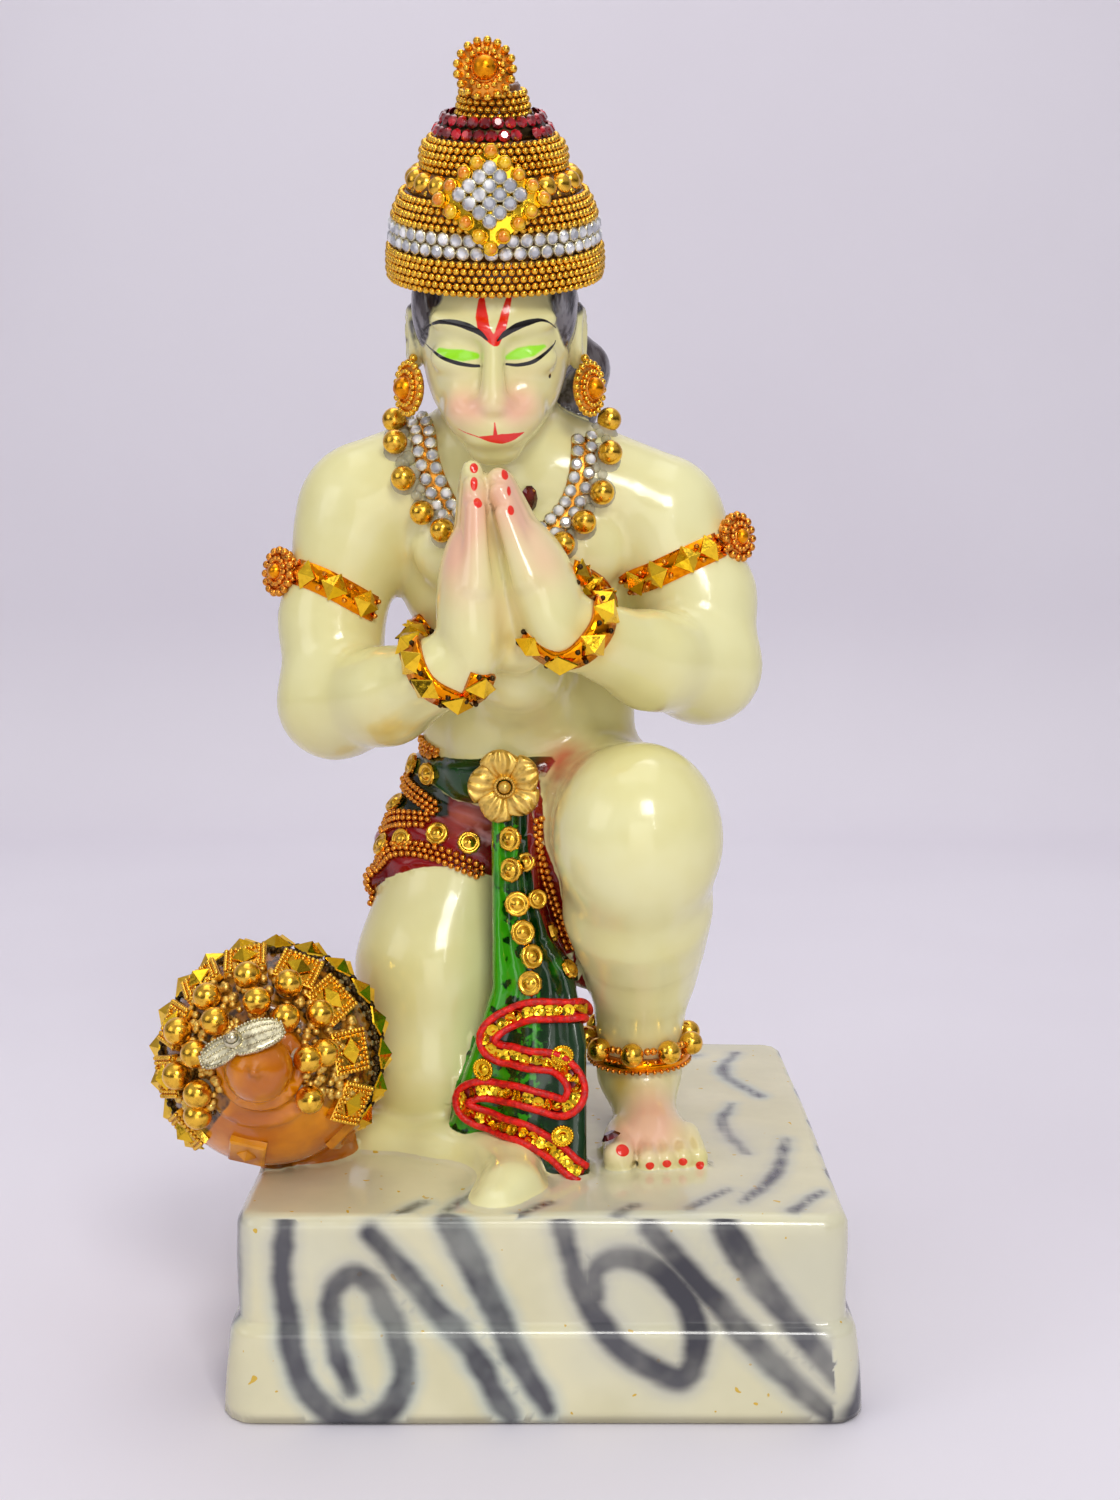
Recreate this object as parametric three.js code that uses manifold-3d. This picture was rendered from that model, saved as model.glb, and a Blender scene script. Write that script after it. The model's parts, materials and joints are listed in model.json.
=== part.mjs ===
// A kneeling monkey-faced figure with its hands folded in greeting, cast in one with its
// two-step plinth, its tail and its round-headed mace, and dressed with glued-on trims.
// Millimetres, +Z up. The origin is the middle of the plinth's underside; the figure faces -Y.
import * as THREE from "three";
import Module from "manifold-3d";

// Plinth
const PLINTH_WIDTH = 100;
const PLINTH_DEPTH = 100;
const UPPER_STEP_HEIGHT = 18;
const LOWER_STEP_HEIGHT = 16;
const STEP_LEDGE = 1.5;
const STEP_SPLAY = 1.6;
const PLINTH_CORNER = 4;
const EDGE_ROUND = 2.2;

// Figure
const FIGURE_HEIGHT = 189;
const CASTING_FACETS = 3420;

// Trims
const TRIM_GAP = 0.32;
const BEAD_RADIUS = 2;
const CHAIN_THICKNESS = 1.5;
const STONE_THICKNESS = 1.2;
const STUD_RADIUS = 2.05;
const STUD_THICKNESS = 1;
const COIN_RADIUS = 1.9;
const PYRAMID_SIZE = 4.6;
const ARMLET_WIDTH = 5.4;
const PYRAMID_HEIGHT = 1.6;
const TILE_SIZE = 6.2;
const ROSETTE_RADIUS = 4.5;
const FLOWER_RADIUS = 6.2;
const BRAID_RADIUS = 1.1;
const NECKLACE_WIDTH = 5;
const EARRING_RADIUS = 5;

// The body is laid out in steps: this many from the plinth's top to the crown's tip.
const BODY_STEPS = 189;
const BODY_STEP = FIGURE_HEIGHT / BODY_STEPS;
const PLINTH_HEIGHT = UPPER_STEP_HEIGHT + LOWER_STEP_HEIGHT;

// small vector helpers on [x, y, z] lists
const add = (a, b) => a.map((v, k) => v + b[k]);
const minus = (a, b) => a.map((v, k) => v - b[k]);
const times = (a, s) => a.map((v) => v * s);
const dot = (a, b) => a[0] * b[0] + a[1] * b[1] + a[2] * b[2];
const size = (a) => Math.hypot(a[0], a[1], a[2]);
const unit = (a) => times(a, 1 / (size(a) || 1));
const cross = (a, b) => [a[1] * b[2] - a[2] * b[1], a[2] * b[0] - a[0] * b[2], a[0] * b[1] - a[1] * b[0]];
const clamp = (v, low, high) => Math.min(Math.max(v, low), high);
const mix = (a, b, t) => a + (b - a) * t;

// value at x along a line through [x, value] pairs
function along(pairs, x) {
  if (x <= pairs[0][0]) return pairs[0][1];
  for (let i = 1; i < pairs.length; i += 1) {
    const [x0, v0] = pairs[i - 1];
    const [x1, v1] = pairs[i];
    if (x <= x1) return mix(v0, v1, (x - x0) / (x1 - x0));
  }
  return pairs[pairs.length - 1][1];
}

// distances to simple bodies, and ways of blending them
function blend(a, b, k) {
  const h = Math.max(k - Math.abs(a - b), 0) / k;
  return Math.min(a, b) - (h * h * k) / 4;
}
const carve = (a, b, k) => -blend(-a, b, k);
const overlap = (a, b, k) => -blend(-a, -b, k);

function cone(p, a, ra, b, rb) {
  const ux = b[0] - a[0];
  const uy = b[1] - a[1];
  const uz = b[2] - a[2];
  const px = p[0] - a[0];
  const py = p[1] - a[1];
  const pz = p[2] - a[2];
  const t = clamp((px * ux + py * uy + pz * uz) / (ux * ux + uy * uy + uz * uz), 0, 1);
  return Math.hypot(px - t * ux, py - t * uy, pz - t * uz) - mix(ra, rb, t);
}

const ball = (p, c, r) => Math.hypot(p[0] - c[0], p[1] - c[1], p[2] - c[2]) - r;

function egg(p, c, r) {
  const x = p[0] - c[0];
  const y = p[1] - c[1];
  const z = p[2] - c[2];
  const k = Math.hypot(x / r[0], y / r[1], z / r[2]);
  const g = Math.hypot(x / (r[0] * r[0]), y / (r[1] * r[1]), z / (r[2] * r[2]));
  return g > 1e-9 ? (k * (k - 1)) / g : -Math.min(r[0], r[1], r[2]);
}

// a limb through [point, radius] stops
function limb(p, stops, k) {
  let d = cone(p, stops[0][0], stops[0][1], stops[1][0], stops[1][1]);
  for (let i = 2; i < stops.length; i += 1) {
    d = blend(d, cone(p, stops[i - 1][0], stops[i - 1][1], stops[i][0], stops[i][1]), k);
  }
  return d;
}

// head and crown, in a frame that bows with the face: right, forward, up
const HEAD = [-8.5, -6, 142];
const BOW = (19 * Math.PI) / 180;
const FORWARD = [0, -Math.cos(BOW), -Math.sin(BOW)];
const UPWARD = [0, -Math.sin(BOW), Math.cos(BOW)];
const inHead = (p) => {
  const q = minus(p, HEAD);
  return [q[0], dot(q, FORWARD), dot(q, UPWARD)];
};
const fromHead = (h) => add(add(add(HEAD, [h[0], 0, 0]), times(FORWARD, h[1])), times(UPWARD, h[2]));

function headSkin(p) {
  const h = inHead(p);
  const m = [Math.abs(h[0]), h[1], h[2]];
  let d = egg(m, [0, -1, 4], [13.7, 16.5, 16.5]);
  d = blend(d, egg(m, [0, 6, -5], [10.6, 10.5, 9.5]), 5);
  // muzzle and cheeks
  d = blend(d, egg(m, [0, 12.6, -8.8], [7.4, 8.2, 5.6]), 4);
  d = blend(d, egg(m, [4.2, 14.6, -6.8], [3.9, 4.8, 3.7]), 2.5);
  // hollows beside the nose and under the brows
  d = carve(d, egg(m, [4.4, 18.5, 0.4], [2.8, 2.6, 4.4]), 3);
  d = carve(d, egg(m, [6.4, 17.9, 4.7], [4.4, 2.6, 1.4]), 2.5);
  // nose
  d = blend(d, cone(m, [0, 15.3, 6.4], 1.2, [0, 18.5, -3.8], 2.2), 1.8);
  d = blend(d, egg(m, [0, 18.6, -5], [2.5, 2.3, 1.7]), 1.4);
  d = blend(d, egg(m, [2.5, 17.3, -5.5], [1.5, 2, 1.4]), 1.2);
  // closed eyes, brows, chin, lips
  d = blend(d, egg(m, [6, 12, 1.3], [4.7, 3.1, 2.8]), 1.6);
  d = blend(d, cone(m, [2.4, 15, 6.9], 0.9, [9.5, 11.6, 7.8], 0.9), 3);
  d = blend(d, egg(m, [0, 14.6, -14], [4.4, 4, 2.6]), 2.5);
  d = blend(d, egg(m, [0, 18.1, -10.9], [4.4, 2.2, 1.2]), 1.5);
  const bowl = egg(m, [16.4, 0.8, 2.4], [1.5, 2.4, 4]);
  const ear = carve(egg(m, [14.4, -0.5, 2], [2.1, 4, 6]), bowl, 1.2);
  return blend(d, ear, 1.2);
}

function hair(p) {
  const h = inHead(p);
  const m = [Math.abs(h[0]), h[1], h[2]];
  let d = egg(h, [0, -6.5, 4.5], [14.8, 13.5, 15.5]);
  d = blend(d, egg(m, [11.6, 4.4, 8.5], [2.7, 5.2, 7.5]), 1.5);
  d = blend(d, egg(h, [0, -12, -8], [12, 7.5, 11]), 4);
  d = blend(d, limb(p, [[[1, 6, 142], 8], [[6.4, 8, 139.4], 4.9], [[5.4, 9, 132], 4.4]], 3), 3);
  return blend(d, cone(p, [-7, 9, 130], 9.5, [-6, 14, 112], 6.5), 4);
}

// the crown's bare core: radius at each height above its brim
const CROWN_BASE = fromHead([0, -2.5, 13]);
const CROWN_CORE = [
  [0, 17.5],
  [5, 17.3],
  [5.1, 16.9],
  [9.2, 16.6],
  [9.3, 16.2],
  [13.8, 14.6],
  [14, 13.2],
  [17.4, 12],
  [17.5, 11.1],
  [22.4, 10.2],
  [22.5, 8.4],
  [25.6, 6.3],
  [25.7, 5],
  [31, 4.6],
];
const CROWN_TALL = 31;

function crown(p) {
  const q = minus(p, CROWN_BASE);
  const height = dot(q, UPWARD);
  const radius = Math.hypot(q[0], dot(q, FORWARD));
  return Math.max(radius - along(CROWN_CORE, height), -height, height - CROWN_TALL) * 0.9;
}

// trunk
function torso(p) {
  let d = egg(p, [-2.8, 8, 60.5], [21.6, 15.5, 15]);
  d = blend(d, egg(p, [-3.2, 4.5, 76], [19.8, 13.5, 17]), 7);
  d = blend(d, egg(p, [-4.6, 5, 103], [22.6, 14, 19]), 6);
  d = blend(d, cone(p, [-14, 4, 120], 13, [-32, 3, 115], 11.4), 5);
  d = blend(d, cone(p, [-3, 4, 120], 13.2, [20.5, 3, 113], 11), 5);
  d = blend(d, cone(p, [-7.5, 2, 121], 10.6, [-8.5, -2, 134], 9.6), 4);
  for (const x of [-13.5, 4.5]) d = blend(d, egg(p, [x, -6.2, 106], [9.5, 4.6, 6.8]), 3.5);
  return blend(d, egg(p, [-4, -6.5, 72], [12, 5, 13]), 5);
}

// arms: shoulder, mid upper arm, elbow, forearm, wrist
const ARM_RIGHT = [
  [[-33.8, 3, 113], 10.9],
  [[-39, 0, 94], 8.7],
  [[-37.8, -4.5, 79.4], 9.9],
  [[-27.5, -15, 81.3], 8.1],
  [[-16.4, -26, 87], 6.2],
];
const ARM_LEFT = [
  [[21.4, 3, 111], 10.9],
  [[27.8, 0.5, 98], 9.9],
  [[28.6, -4, 85.8], 10],
  [[18.6, -15, 87.6], 8.2],
  [[7.4, -26, 92.5], 6.2],
];

function arm(p, stops) {
  const muscle = egg(p, add(stops[0][0], [0, 0, -3]), [10.8, 10.8, 12]);
  const upper = blend(limb(p, stops.slice(0, 3), 4), muscle, 4);
  return blend(upper, limb(p, stops.slice(2), 3), 3);
}

// a hand whose middle line runs through heel, knuckles and tips; back is the way its back faces
const HAND_RIGHT = {
  heel: [-11.6, -27.5, 86],
  knuckles: [-12.4, -28, 100],
  tip: [-10.8, -28, 122],
  back: [-1, -0.3, 0],
};
const HAND_LEFT = {
  heel: [3.6, -27.5, 90],
  knuckles: [-0.2, -28, 103],
  tip: [-6.4, -28, 120.5],
  back: [1, -0.45, 0.3],
};
const FINGER_REACH = [0.82, 0.93, 1, 0.98];

function handFrame({ heel, knuckles, tip, back }) {
  const reach = size(minus(tip, heel));
  const up = unit(minus(tip, heel));
  const out = unit(minus(back, times(up, dot(back, up))));
  let near = cross(up, out);
  if (near[1] > 0) near = times(near, -1);
  return { heel, reach, up, out, near, bow: dot(minus(knuckles, heel), out) };
}
const HANDS = [handFrame(HAND_RIGHT), handFrame(HAND_LEFT)];

function hand(p, { heel, reach, up, out, near, bow }) {
  const q = minus(p, heel);
  const local = [dot(q, out), dot(q, near), dot(q, up)];
  let d = egg(local, [bow, 0, 0.24 * reach], [5.3, 7.0, 0.34 * reach]);
  d = blend(d, egg(local, [bow, -1.5, 0.45 * reach], [3.9, 6.6, 0.25 * reach]), 3);
  FINGER_REACH.forEach((length, i) => {
    const side = 4.6 - 3 * i;
    const root = [bow * 0.8, side, 0.42 * reach];
    const end = [-0.25 * i, side * 0.62, (length - 0.05) * reach];
    d = blend(d, cone(local, root, 2.6, end, 1.7), 0.9);
  });
  return d;
}

// legs
function kneelingLeg(p) {
  let d = limb(p, [[[-15.6, 7, 51], 14], [[-20.8, -2, 30], 13.2], [[-21.2, -6, 14], 12.2]], 5);
  d = blend(d, egg(p, [-21, -8.5, 12], [10.8, 9, 9.5]), 3);
  d = blend(d, limb(p, [[[-21, -3, 11], 10.5], [[-20, 16, 10], 10], [[-18, 35, 9], 6]], 5), 4);
  d = blend(d, cone(p, [-18, 36, 13], 5.6, [-18, 42, 6], 4.4), 3);
  for (let i = 0; i < 5; i += 1) {
    const x = -24 + 3 * i;
    d = blend(d, cone(p, [x, 42, 5], 2.2, [x, 39.5, 1.6], 1.9), 0.8);
  }
  return d;
}

const SHIN = [
  [[16.2, -24, 55], 12.9],
  [[16.4, -19, 44], 12.2],
  [[17.2, -14.5, 36.5], 10.2],
  [[17.4, -11.5, 30], 8.6],
  [[17.3, -8, 21], 7.1],
  [[17.3, -6.5, 12], 6.7],
];
// tip x, y, z and radius of each toe of the planted foot
const TOES = [
  [12.9, -28.6, 2.6, 2.7],
  [18.1, -28.9, 2, 1.9],
  [21.2, -28.4, 1.9, 1.8],
  [24.2, -27.5, 1.9, 1.8],
  [26.9, -26.6, 1.8, 1.7],
];

function plantedLeg(p) {
  let d = cone(p, [7, 9, 58], 15.5, [15.6, -23, 60], 12.7);
  d = blend(d, egg(p, [16.2, -26, 60.3], [13.3, 13, 13.8]), 4);
  d = blend(d, limb(p, SHIN, 4), 5);
  d = blend(d, egg(p, [16, -37, 57], [7, 3, 8]), 3);
  let foot = cone(p, [17.3, -5, 12], 6.6, [17.6, 1, 6], 5.8);
  foot = blend(foot, cone(p, [17.6, -6, 9.5], 6.8, [18.4, -18, 3.2], 5), 4);
  foot = blend(foot, egg(p, [18.9, -19.5, 1.6], [8.6, 7.5, 5.4]), 3);
  for (const [x, y, z, r] of TOES) {
    foot = blend(foot, cone(p, [18.9 + (x - 18.9) * 0.85, -19, 3.4], r + 0.2, [x, y, z], r), 0.8);
  }
  return blend(d, foot, 3);
}

const TAIL = [
  [[-4, 22, 58], 6],
  [[-8, 36, 40], 5.4],
  [[-22, 44, 14], 5],
  [[-32, 41, 3], 4.8],
  [[-34.5, 20, 1], 4.6],
  [[-36, -3, 0.2], 4.4],
  [[-31, -14.2, 0], 4.2],
  [[-18, -18.4, -0.2], 4.2],
  [[-9.2, -23, -0.4], 4.3],
  [[-5.6, -29.5, -0.6], 4.6],
  [[-5.4, -37, -1.2], 5],
  [[-7.6, -42.5, -2], 5],
];

// cloth
const SASH_LEFT = [[0, -17], [11, -14.8], [23, -10.6], [30, -8.4], [70, -8.8]];
const SASH_RIGHT = [[0, 6.6], [21, 6.6], [32, 4.4], [38, 0.8], [45, -1.2], [61, -2.4], [70, -3]];
const SASH_FRONT = [[30, -20.5], [45, -17.5], [70, -14.5]];

function sash(p) {
  const [x, y, z] = p;
  const left = along(SASH_LEFT, z);
  const right = along(SASH_RIGHT, z);
  const foot = along([[-16, -19.5], [1, -31.5]], x);
  const front = z < 30 ? mix(foot, SASH_FRONT[0][1], clamp(z / 30, 0, 1)) : along(SASH_FRONT, z);
  const middle = (left + right) / 2;
  const half = (right - left) / 2;
  const fold = 0.7 * Math.cos(((x - middle) / half) * 7);
  let d = overlap(Math.abs(x - middle) - half, Math.abs(y - (front + 3.2) + fold) - 3, 1.5);
  d = overlap(d, Math.max(z - 72, -2 - z), 2);
  return d * 0.8 - 0.6;
}

function belt(p, trunk) {
  const rise = p[2] - 68 - 0.06 * (p[0] + 4);
  return overlap(trunk - 1.6, Math.abs(rise) - 4.2, 2);
}

function loincloth(p) {
  const hip = egg(p, [-2.8, 8, 60.5], [21.6, 15.5, 15]);
  let d = blend(hip, cone(p, [-16.5, 7, 48], 14.5, [-21.5, -3, 24], 13), 6);
  d = blend(d, cone(p, [7, 9, 58], 15.5, [16, -23, 60.5], 12.4), 6);
  d = blend(d, egg(p, [-3, 4.5, 70], [18.4, 13.2, 10]), 6);
  const hem = 49.6 - 0.12 * Math.abs(p[0] + 22) - 0.55 * clamp(p[1] + 12, 0, 20);
  const kneeling = 1 / (1 + Math.exp((p[0] + 3) * 0.6));
  const cut = kneeling * (hem - p[2]) + (1 - kneeling) * (-9 - p[1]);
  const fold = 0.45 * Math.sin(p[2] * 0.9 + p[0] * 0.35);
  d = overlap(d - 1.5 + fold, Math.max(cut, p[2] - 70), 1.2);
  const crease = 0.35 * Math.sin(p[2] * 0.55 + p[0] * 0.5);
  const drape = cone(p, [3, -9, 58], 8.5, [7.2, -10.5, 32], 4.2) - crease;
  return blend(d, drape, 2.5);
}

// mace: a ball head lying at the knee, its shaft running back beside the leg
const MACE = [-47.4, -25, 19.5];
const KNOB = [-46.3, -46, 23.6];
const KNOB_RADIUS = 5.6;
const MACE_OUT = unit(minus(KNOB, MACE));
const MACE_BACK = unit([0.03, 0.975, -0.19]);
// collars behind the knob: how far back, radius, half thickness
const COLLARS = [[6.2, 10.4, 1.3], [3.6, 7.4, 1.1]];

function mace(p) {
  let d = egg(p, MACE, [18.6, 18.2, 18.8]);
  for (const [back, r, half] of COLLARS) {
    const q = minus(p, minus(KNOB, times(MACE_OUT, back)));
    const depth = dot(q, MACE_OUT);
    const across = size(minus(q, times(MACE_OUT, depth)));
    d = blend(d, overlap(across - r, Math.abs(depth) - half, 1), 0.8);
  }
  d = blend(d, ball(p, KNOB, KNOB_RADIUS), 0.8);
  d = blend(d, cone(p, add(KNOB, times(MACE_OUT, 4.6)), 2, add(KNOB, times(MACE_OUT, 6.4)), 1), 0.8);
  const tip = add(MACE, times(MACE_BACK, 68));
  d = blend(d, cone(p, MACE, 4.6, tip, 4.2), 1);
  d = blend(d, cone(p, add(MACE, times(MACE_BACK, 17)), 8, add(MACE, times(MACE_BACK, 21)), 6), 1.5);
  d = blend(d, ball(p, tip, 5.6), 1);
  return blend(d, cone(p, [-42, -20, 4], 7, [-41, -18, -2], 8), 2);
}

// the whole body above the plinth's top, in steps
function body(p) {
  const trunk = torso(p);
  let d = blend(trunk, arm(p, ARM_RIGHT), 2.6);
  d = blend(d, arm(p, ARM_LEFT), 2.6);
  d = blend(d, blend(hand(p, HANDS[0]), hand(p, HANDS[1]), 0.8), 2);
  const palms = cone(p, [-4.2, -23.5, 90], 4, [-8.2, -23.5, 116], 2.2);
  d = blend(d, blend(egg(p, [-4.5, -10, 85], [8.5, 12, 8]), palms, 3), 5);
  d = blend(d, kneelingLeg(p), 4);
  d = blend(d, plantedLeg(p), 4);
  d = blend(d, headSkin(p), 2.5);
  d = blend(d, limb(p, TAIL, 4), 3);
  d = blend(d, hair(p), 0.8);
  d = blend(d, belt(p, trunk), 0.8);
  d = blend(d, sash(p), 0.8);
  d = blend(d, loincloth(p), 0.8);
  d = blend(d, mace(p), 0.8);
  return blend(d, crown(p), 0.8);
}
const castBody = (p) => Math.max(body(p), -1.5 - p[2]);

// a closed skin over a distance, one point for every sheet that crosses a cell
const CORNERS = [0, 1, 2, 3, 4, 5, 6, 7].map((c) => [(c >> 2) & 1, (c >> 1) & 1, c & 1]);
const EDGES = [];
for (let a = 0; a < 8; a += 1) {
  for (const bit of [4, 2, 1]) if (!(a & bit)) EDGES.push([a, a | bit]);
}
const edgeBetween = (a, b) => EDGES.findIndex(([u, v]) => (u === a && v === b) || (u === b && v === a));
const SIDES = [];
for (const bit of [4, 2, 1]) {
  const [s, t] = [4, 2, 1].filter((other) => other !== bit);
  for (const base of [0, bit]) {
    const loop = [base, base | s, base | s | t, base | t];
    SIDES.push(loop.map((corner, i) => ({
      corner,
      before: edgeBetween(loop[(i + 3) % 4], corner),
      after: edgeBetween(corner, loop[(i + 1) % 4]),
    })));
  }
}

function sampleGrid(distance, low, high, cell) {
  const count = low.map((v, k) => Math.ceil((high[k] - v) / cell) + 1);
  const value = new Float32Array(count[0] * count[1] * count[2]);
  const at = (i, j, k) => (i * count[1] + j) * count[2] + k;
  const point = (i, j, k) => [low[0] + i * cell, low[1] + j * cell, low[2] + k * cell];
  const block = 5;
  for (let bi = 0; bi < count[0]; bi += block) {
    for (let bj = 0; bj < count[1]; bj += block) {
      for (let bk = 0; bk < count[2]; bk += block) {
        const middle = distance(point(bi + block / 2, bj + block / 2, bk + block / 2));
        const far = Math.abs(middle) > cell * block * 1.6;
        for (let i = bi; i < Math.min(bi + block, count[0]); i += 1) {
          for (let j = bj; j < Math.min(bj + block, count[1]); j += 1) {
            for (let k = bk; k < Math.min(bk + block, count[2]); k += 1) {
              value[at(i, j, k)] = far ? middle : distance(point(i, j, k));
            }
          }
        }
      }
    }
  }
  return { count, value, at, point };
}

function skin(distance, low, high, cell) {
  const { count, value, at, point } = sampleGrid(distance, low, high, cell);
  const points = [];
  const pointOfEdge = new Map();
  const edgeKey = (i, j, k, e) => ((i * count[1] + j) * count[2] + k) * 12 + e;
  for (let i = 0; i < count[0] - 1; i += 1) {
    for (let j = 0; j < count[1] - 1; j += 1) {
      for (let k = 0; k < count[2] - 1; k += 1) {
        const corner = CORNERS.map(([a, b, c]) => value[at(i + a, j + b, k + c)]);
        const within = corner.filter((v) => v < 0).length;
        if (within === 0 || within === 8) continue;
        const group = EDGES.map((pair, e) => e);
        const root = (e) => (group[e] === e ? e : root(group[e]));
        const crossed = EDGES.map(([a, b]) => corner[a] < 0 !== corner[b] < 0);
        for (const side of SIDES) {
          const cuts = side.filter((s) => crossed[s.after]).map((s) => s.after);
          if (cuts.length === 2) group[root(cuts[0])] = root(cuts[1]);
          if (cuts.length === 4) {
            for (const s of side) if (corner[s.corner] < 0) group[root(s.before)] = root(s.after);
          }
        }
        const sums = new Map();
        EDGES.forEach(([a, b], e) => {
          if (!crossed[e]) return;
          const t = corner[a] / (corner[a] - corner[b]);
          const at3 = CORNERS[a].map((v, n) => mix(v, CORNERS[b][n], t));
          const sum = sums.get(root(e)) || { total: [0, 0, 0], number: 0, edges: [] };
          sum.total = add(sum.total, at3);
          sum.number += 1;
          sum.edges.push(e);
          sums.set(root(e), sum);
        });
        for (const sum of sums.values()) {
          const c = times(sum.total, 1 / sum.number);
          for (const e of sum.edges) pointOfEdge.set(edgeKey(i, j, k, e), points.length);
          points.push(point(i + c[0], j + c[1], k + c[2]));
        }
      }
    }
  }
  const faces = [];
  for (let axis = 0; axis < 3; axis += 1) {
    const s = (axis + 1) % 3;
    const t = (axis + 2) % 3;
    const bits = [4, 2, 1];
    for (let i = 0; i < count[0] - (axis === 0); i += 1) {
      for (let j = 0; j < count[1] - (axis === 1); j += 1) {
        for (let k = 0; k < count[2] - (axis === 2); k += 1) {
          const here = [i, j, k];
          if (here[s] === 0 || here[t] === 0) continue;
          if (here[s] === count[s] - 1 || here[t] === count[t] - 1) continue;
          const next = here.slice();
          next[axis] += 1;
          const inside = value[at(...here)] < 0;
          if (inside === value[at(...next)] < 0) continue;
          const loop = [[0, 0], [-1, 0], [-1, -1], [0, -1]].map(([ds, dt]) => {
            const cellAt = here.slice();
            cellAt[s] += ds;
            cellAt[t] += dt;
            const low4 = (ds ? bits[s] : 0) | (dt ? bits[t] : 0);
            return pointOfEdge.get(edgeKey(...cellAt, edgeBetween(low4, low4 | bits[axis])));
          });
          if (!inside) loop.reverse();
          faces.push([loop[0], loop[1], loop[2]], [loop[0], loop[2], loop[3]]);
        }
      }
    }
  }
  return { points, faces };
}

// every directed edge used once means the skin closes cleanly
function closes({ faces }) {
  const seen = new Set();
  for (const f of faces) {
    for (let k = 0; k < 3; k += 1) {
      const key = f[k] * 4194304 + f[(k + 1) % 3];
      if (seen.has(key)) return false;
      seen.add(key);
    }
  }
  return true;
}

// thinning: cheapest edge first, measured against the planes around it
class Queue {
  constructor() {
    this.items = [];
  }
  push(item) {
    const list = this.items;
    let i = list.push(item) - 1;
    while (i > 0) {
      const up = (i - 1) >> 1;
      if (list[up].cost <= list[i].cost) break;
      [list[up], list[i]] = [list[i], list[up]];
      i = up;
    }
  }
  pop() {
    const list = this.items;
    const top = list[0];
    const last = list.pop();
    if (!list.length) return top;
    list[0] = last;
    let i = 0;
    for (;;) {
      const l = 2 * i + 1;
      let low = i;
      if (l < list.length && list[l].cost < list[low].cost) low = l;
      if (l + 1 < list.length && list[l + 1].cost < list[low].cost) low = l + 1;
      if (low === i) return top;
      [list[low], list[i]] = [list[i], list[low]];
      i = low;
    }
  }
}

function planeSum(n, d, w) {
  const v = [n[0], n[1], n[2], d];
  const q = [];
  for (let i = 0; i < 4; i += 1) for (let j = i; j < 4; j += 1) q.push(w * v[i] * v[j]);
  return q;
}

function error(q, p) {
  const [x, y, z] = p;
  const flat = q[0] * x * x + q[4] * y * y + q[7] * z * z;
  const mixed = 2 * (q[1] * x * y + q[2] * x * z + q[5] * y * z);
  return flat + mixed + 2 * (q[3] * x + q[6] * y + q[8] * z) + q[9];
}

function bestPoint(q, a, b) {
  const rows = [[q[0], q[1], q[2]], [q[1], q[4], q[5]], [q[2], q[5], q[7]]];
  const det = dot(rows[0], cross(rows[1], rows[2]));
  const middle = times(add(a, b), 0.5);
  if (Math.abs(det) > 1e-4) {
    const r = [-q[3], -q[6], -q[8]];
    const p = [0, 1, 2].map((k) => dot(r, cross(rows[(k + 1) % 3], rows[(k + 2) % 3])) / det);
    if (size(minus(p, middle)) < 1.5 * size(minus(a, b))) return p;
  }
  return [a, b, middle].reduce((best, p) => (error(q, p) < error(q, best) ? p : best));
}

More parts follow.
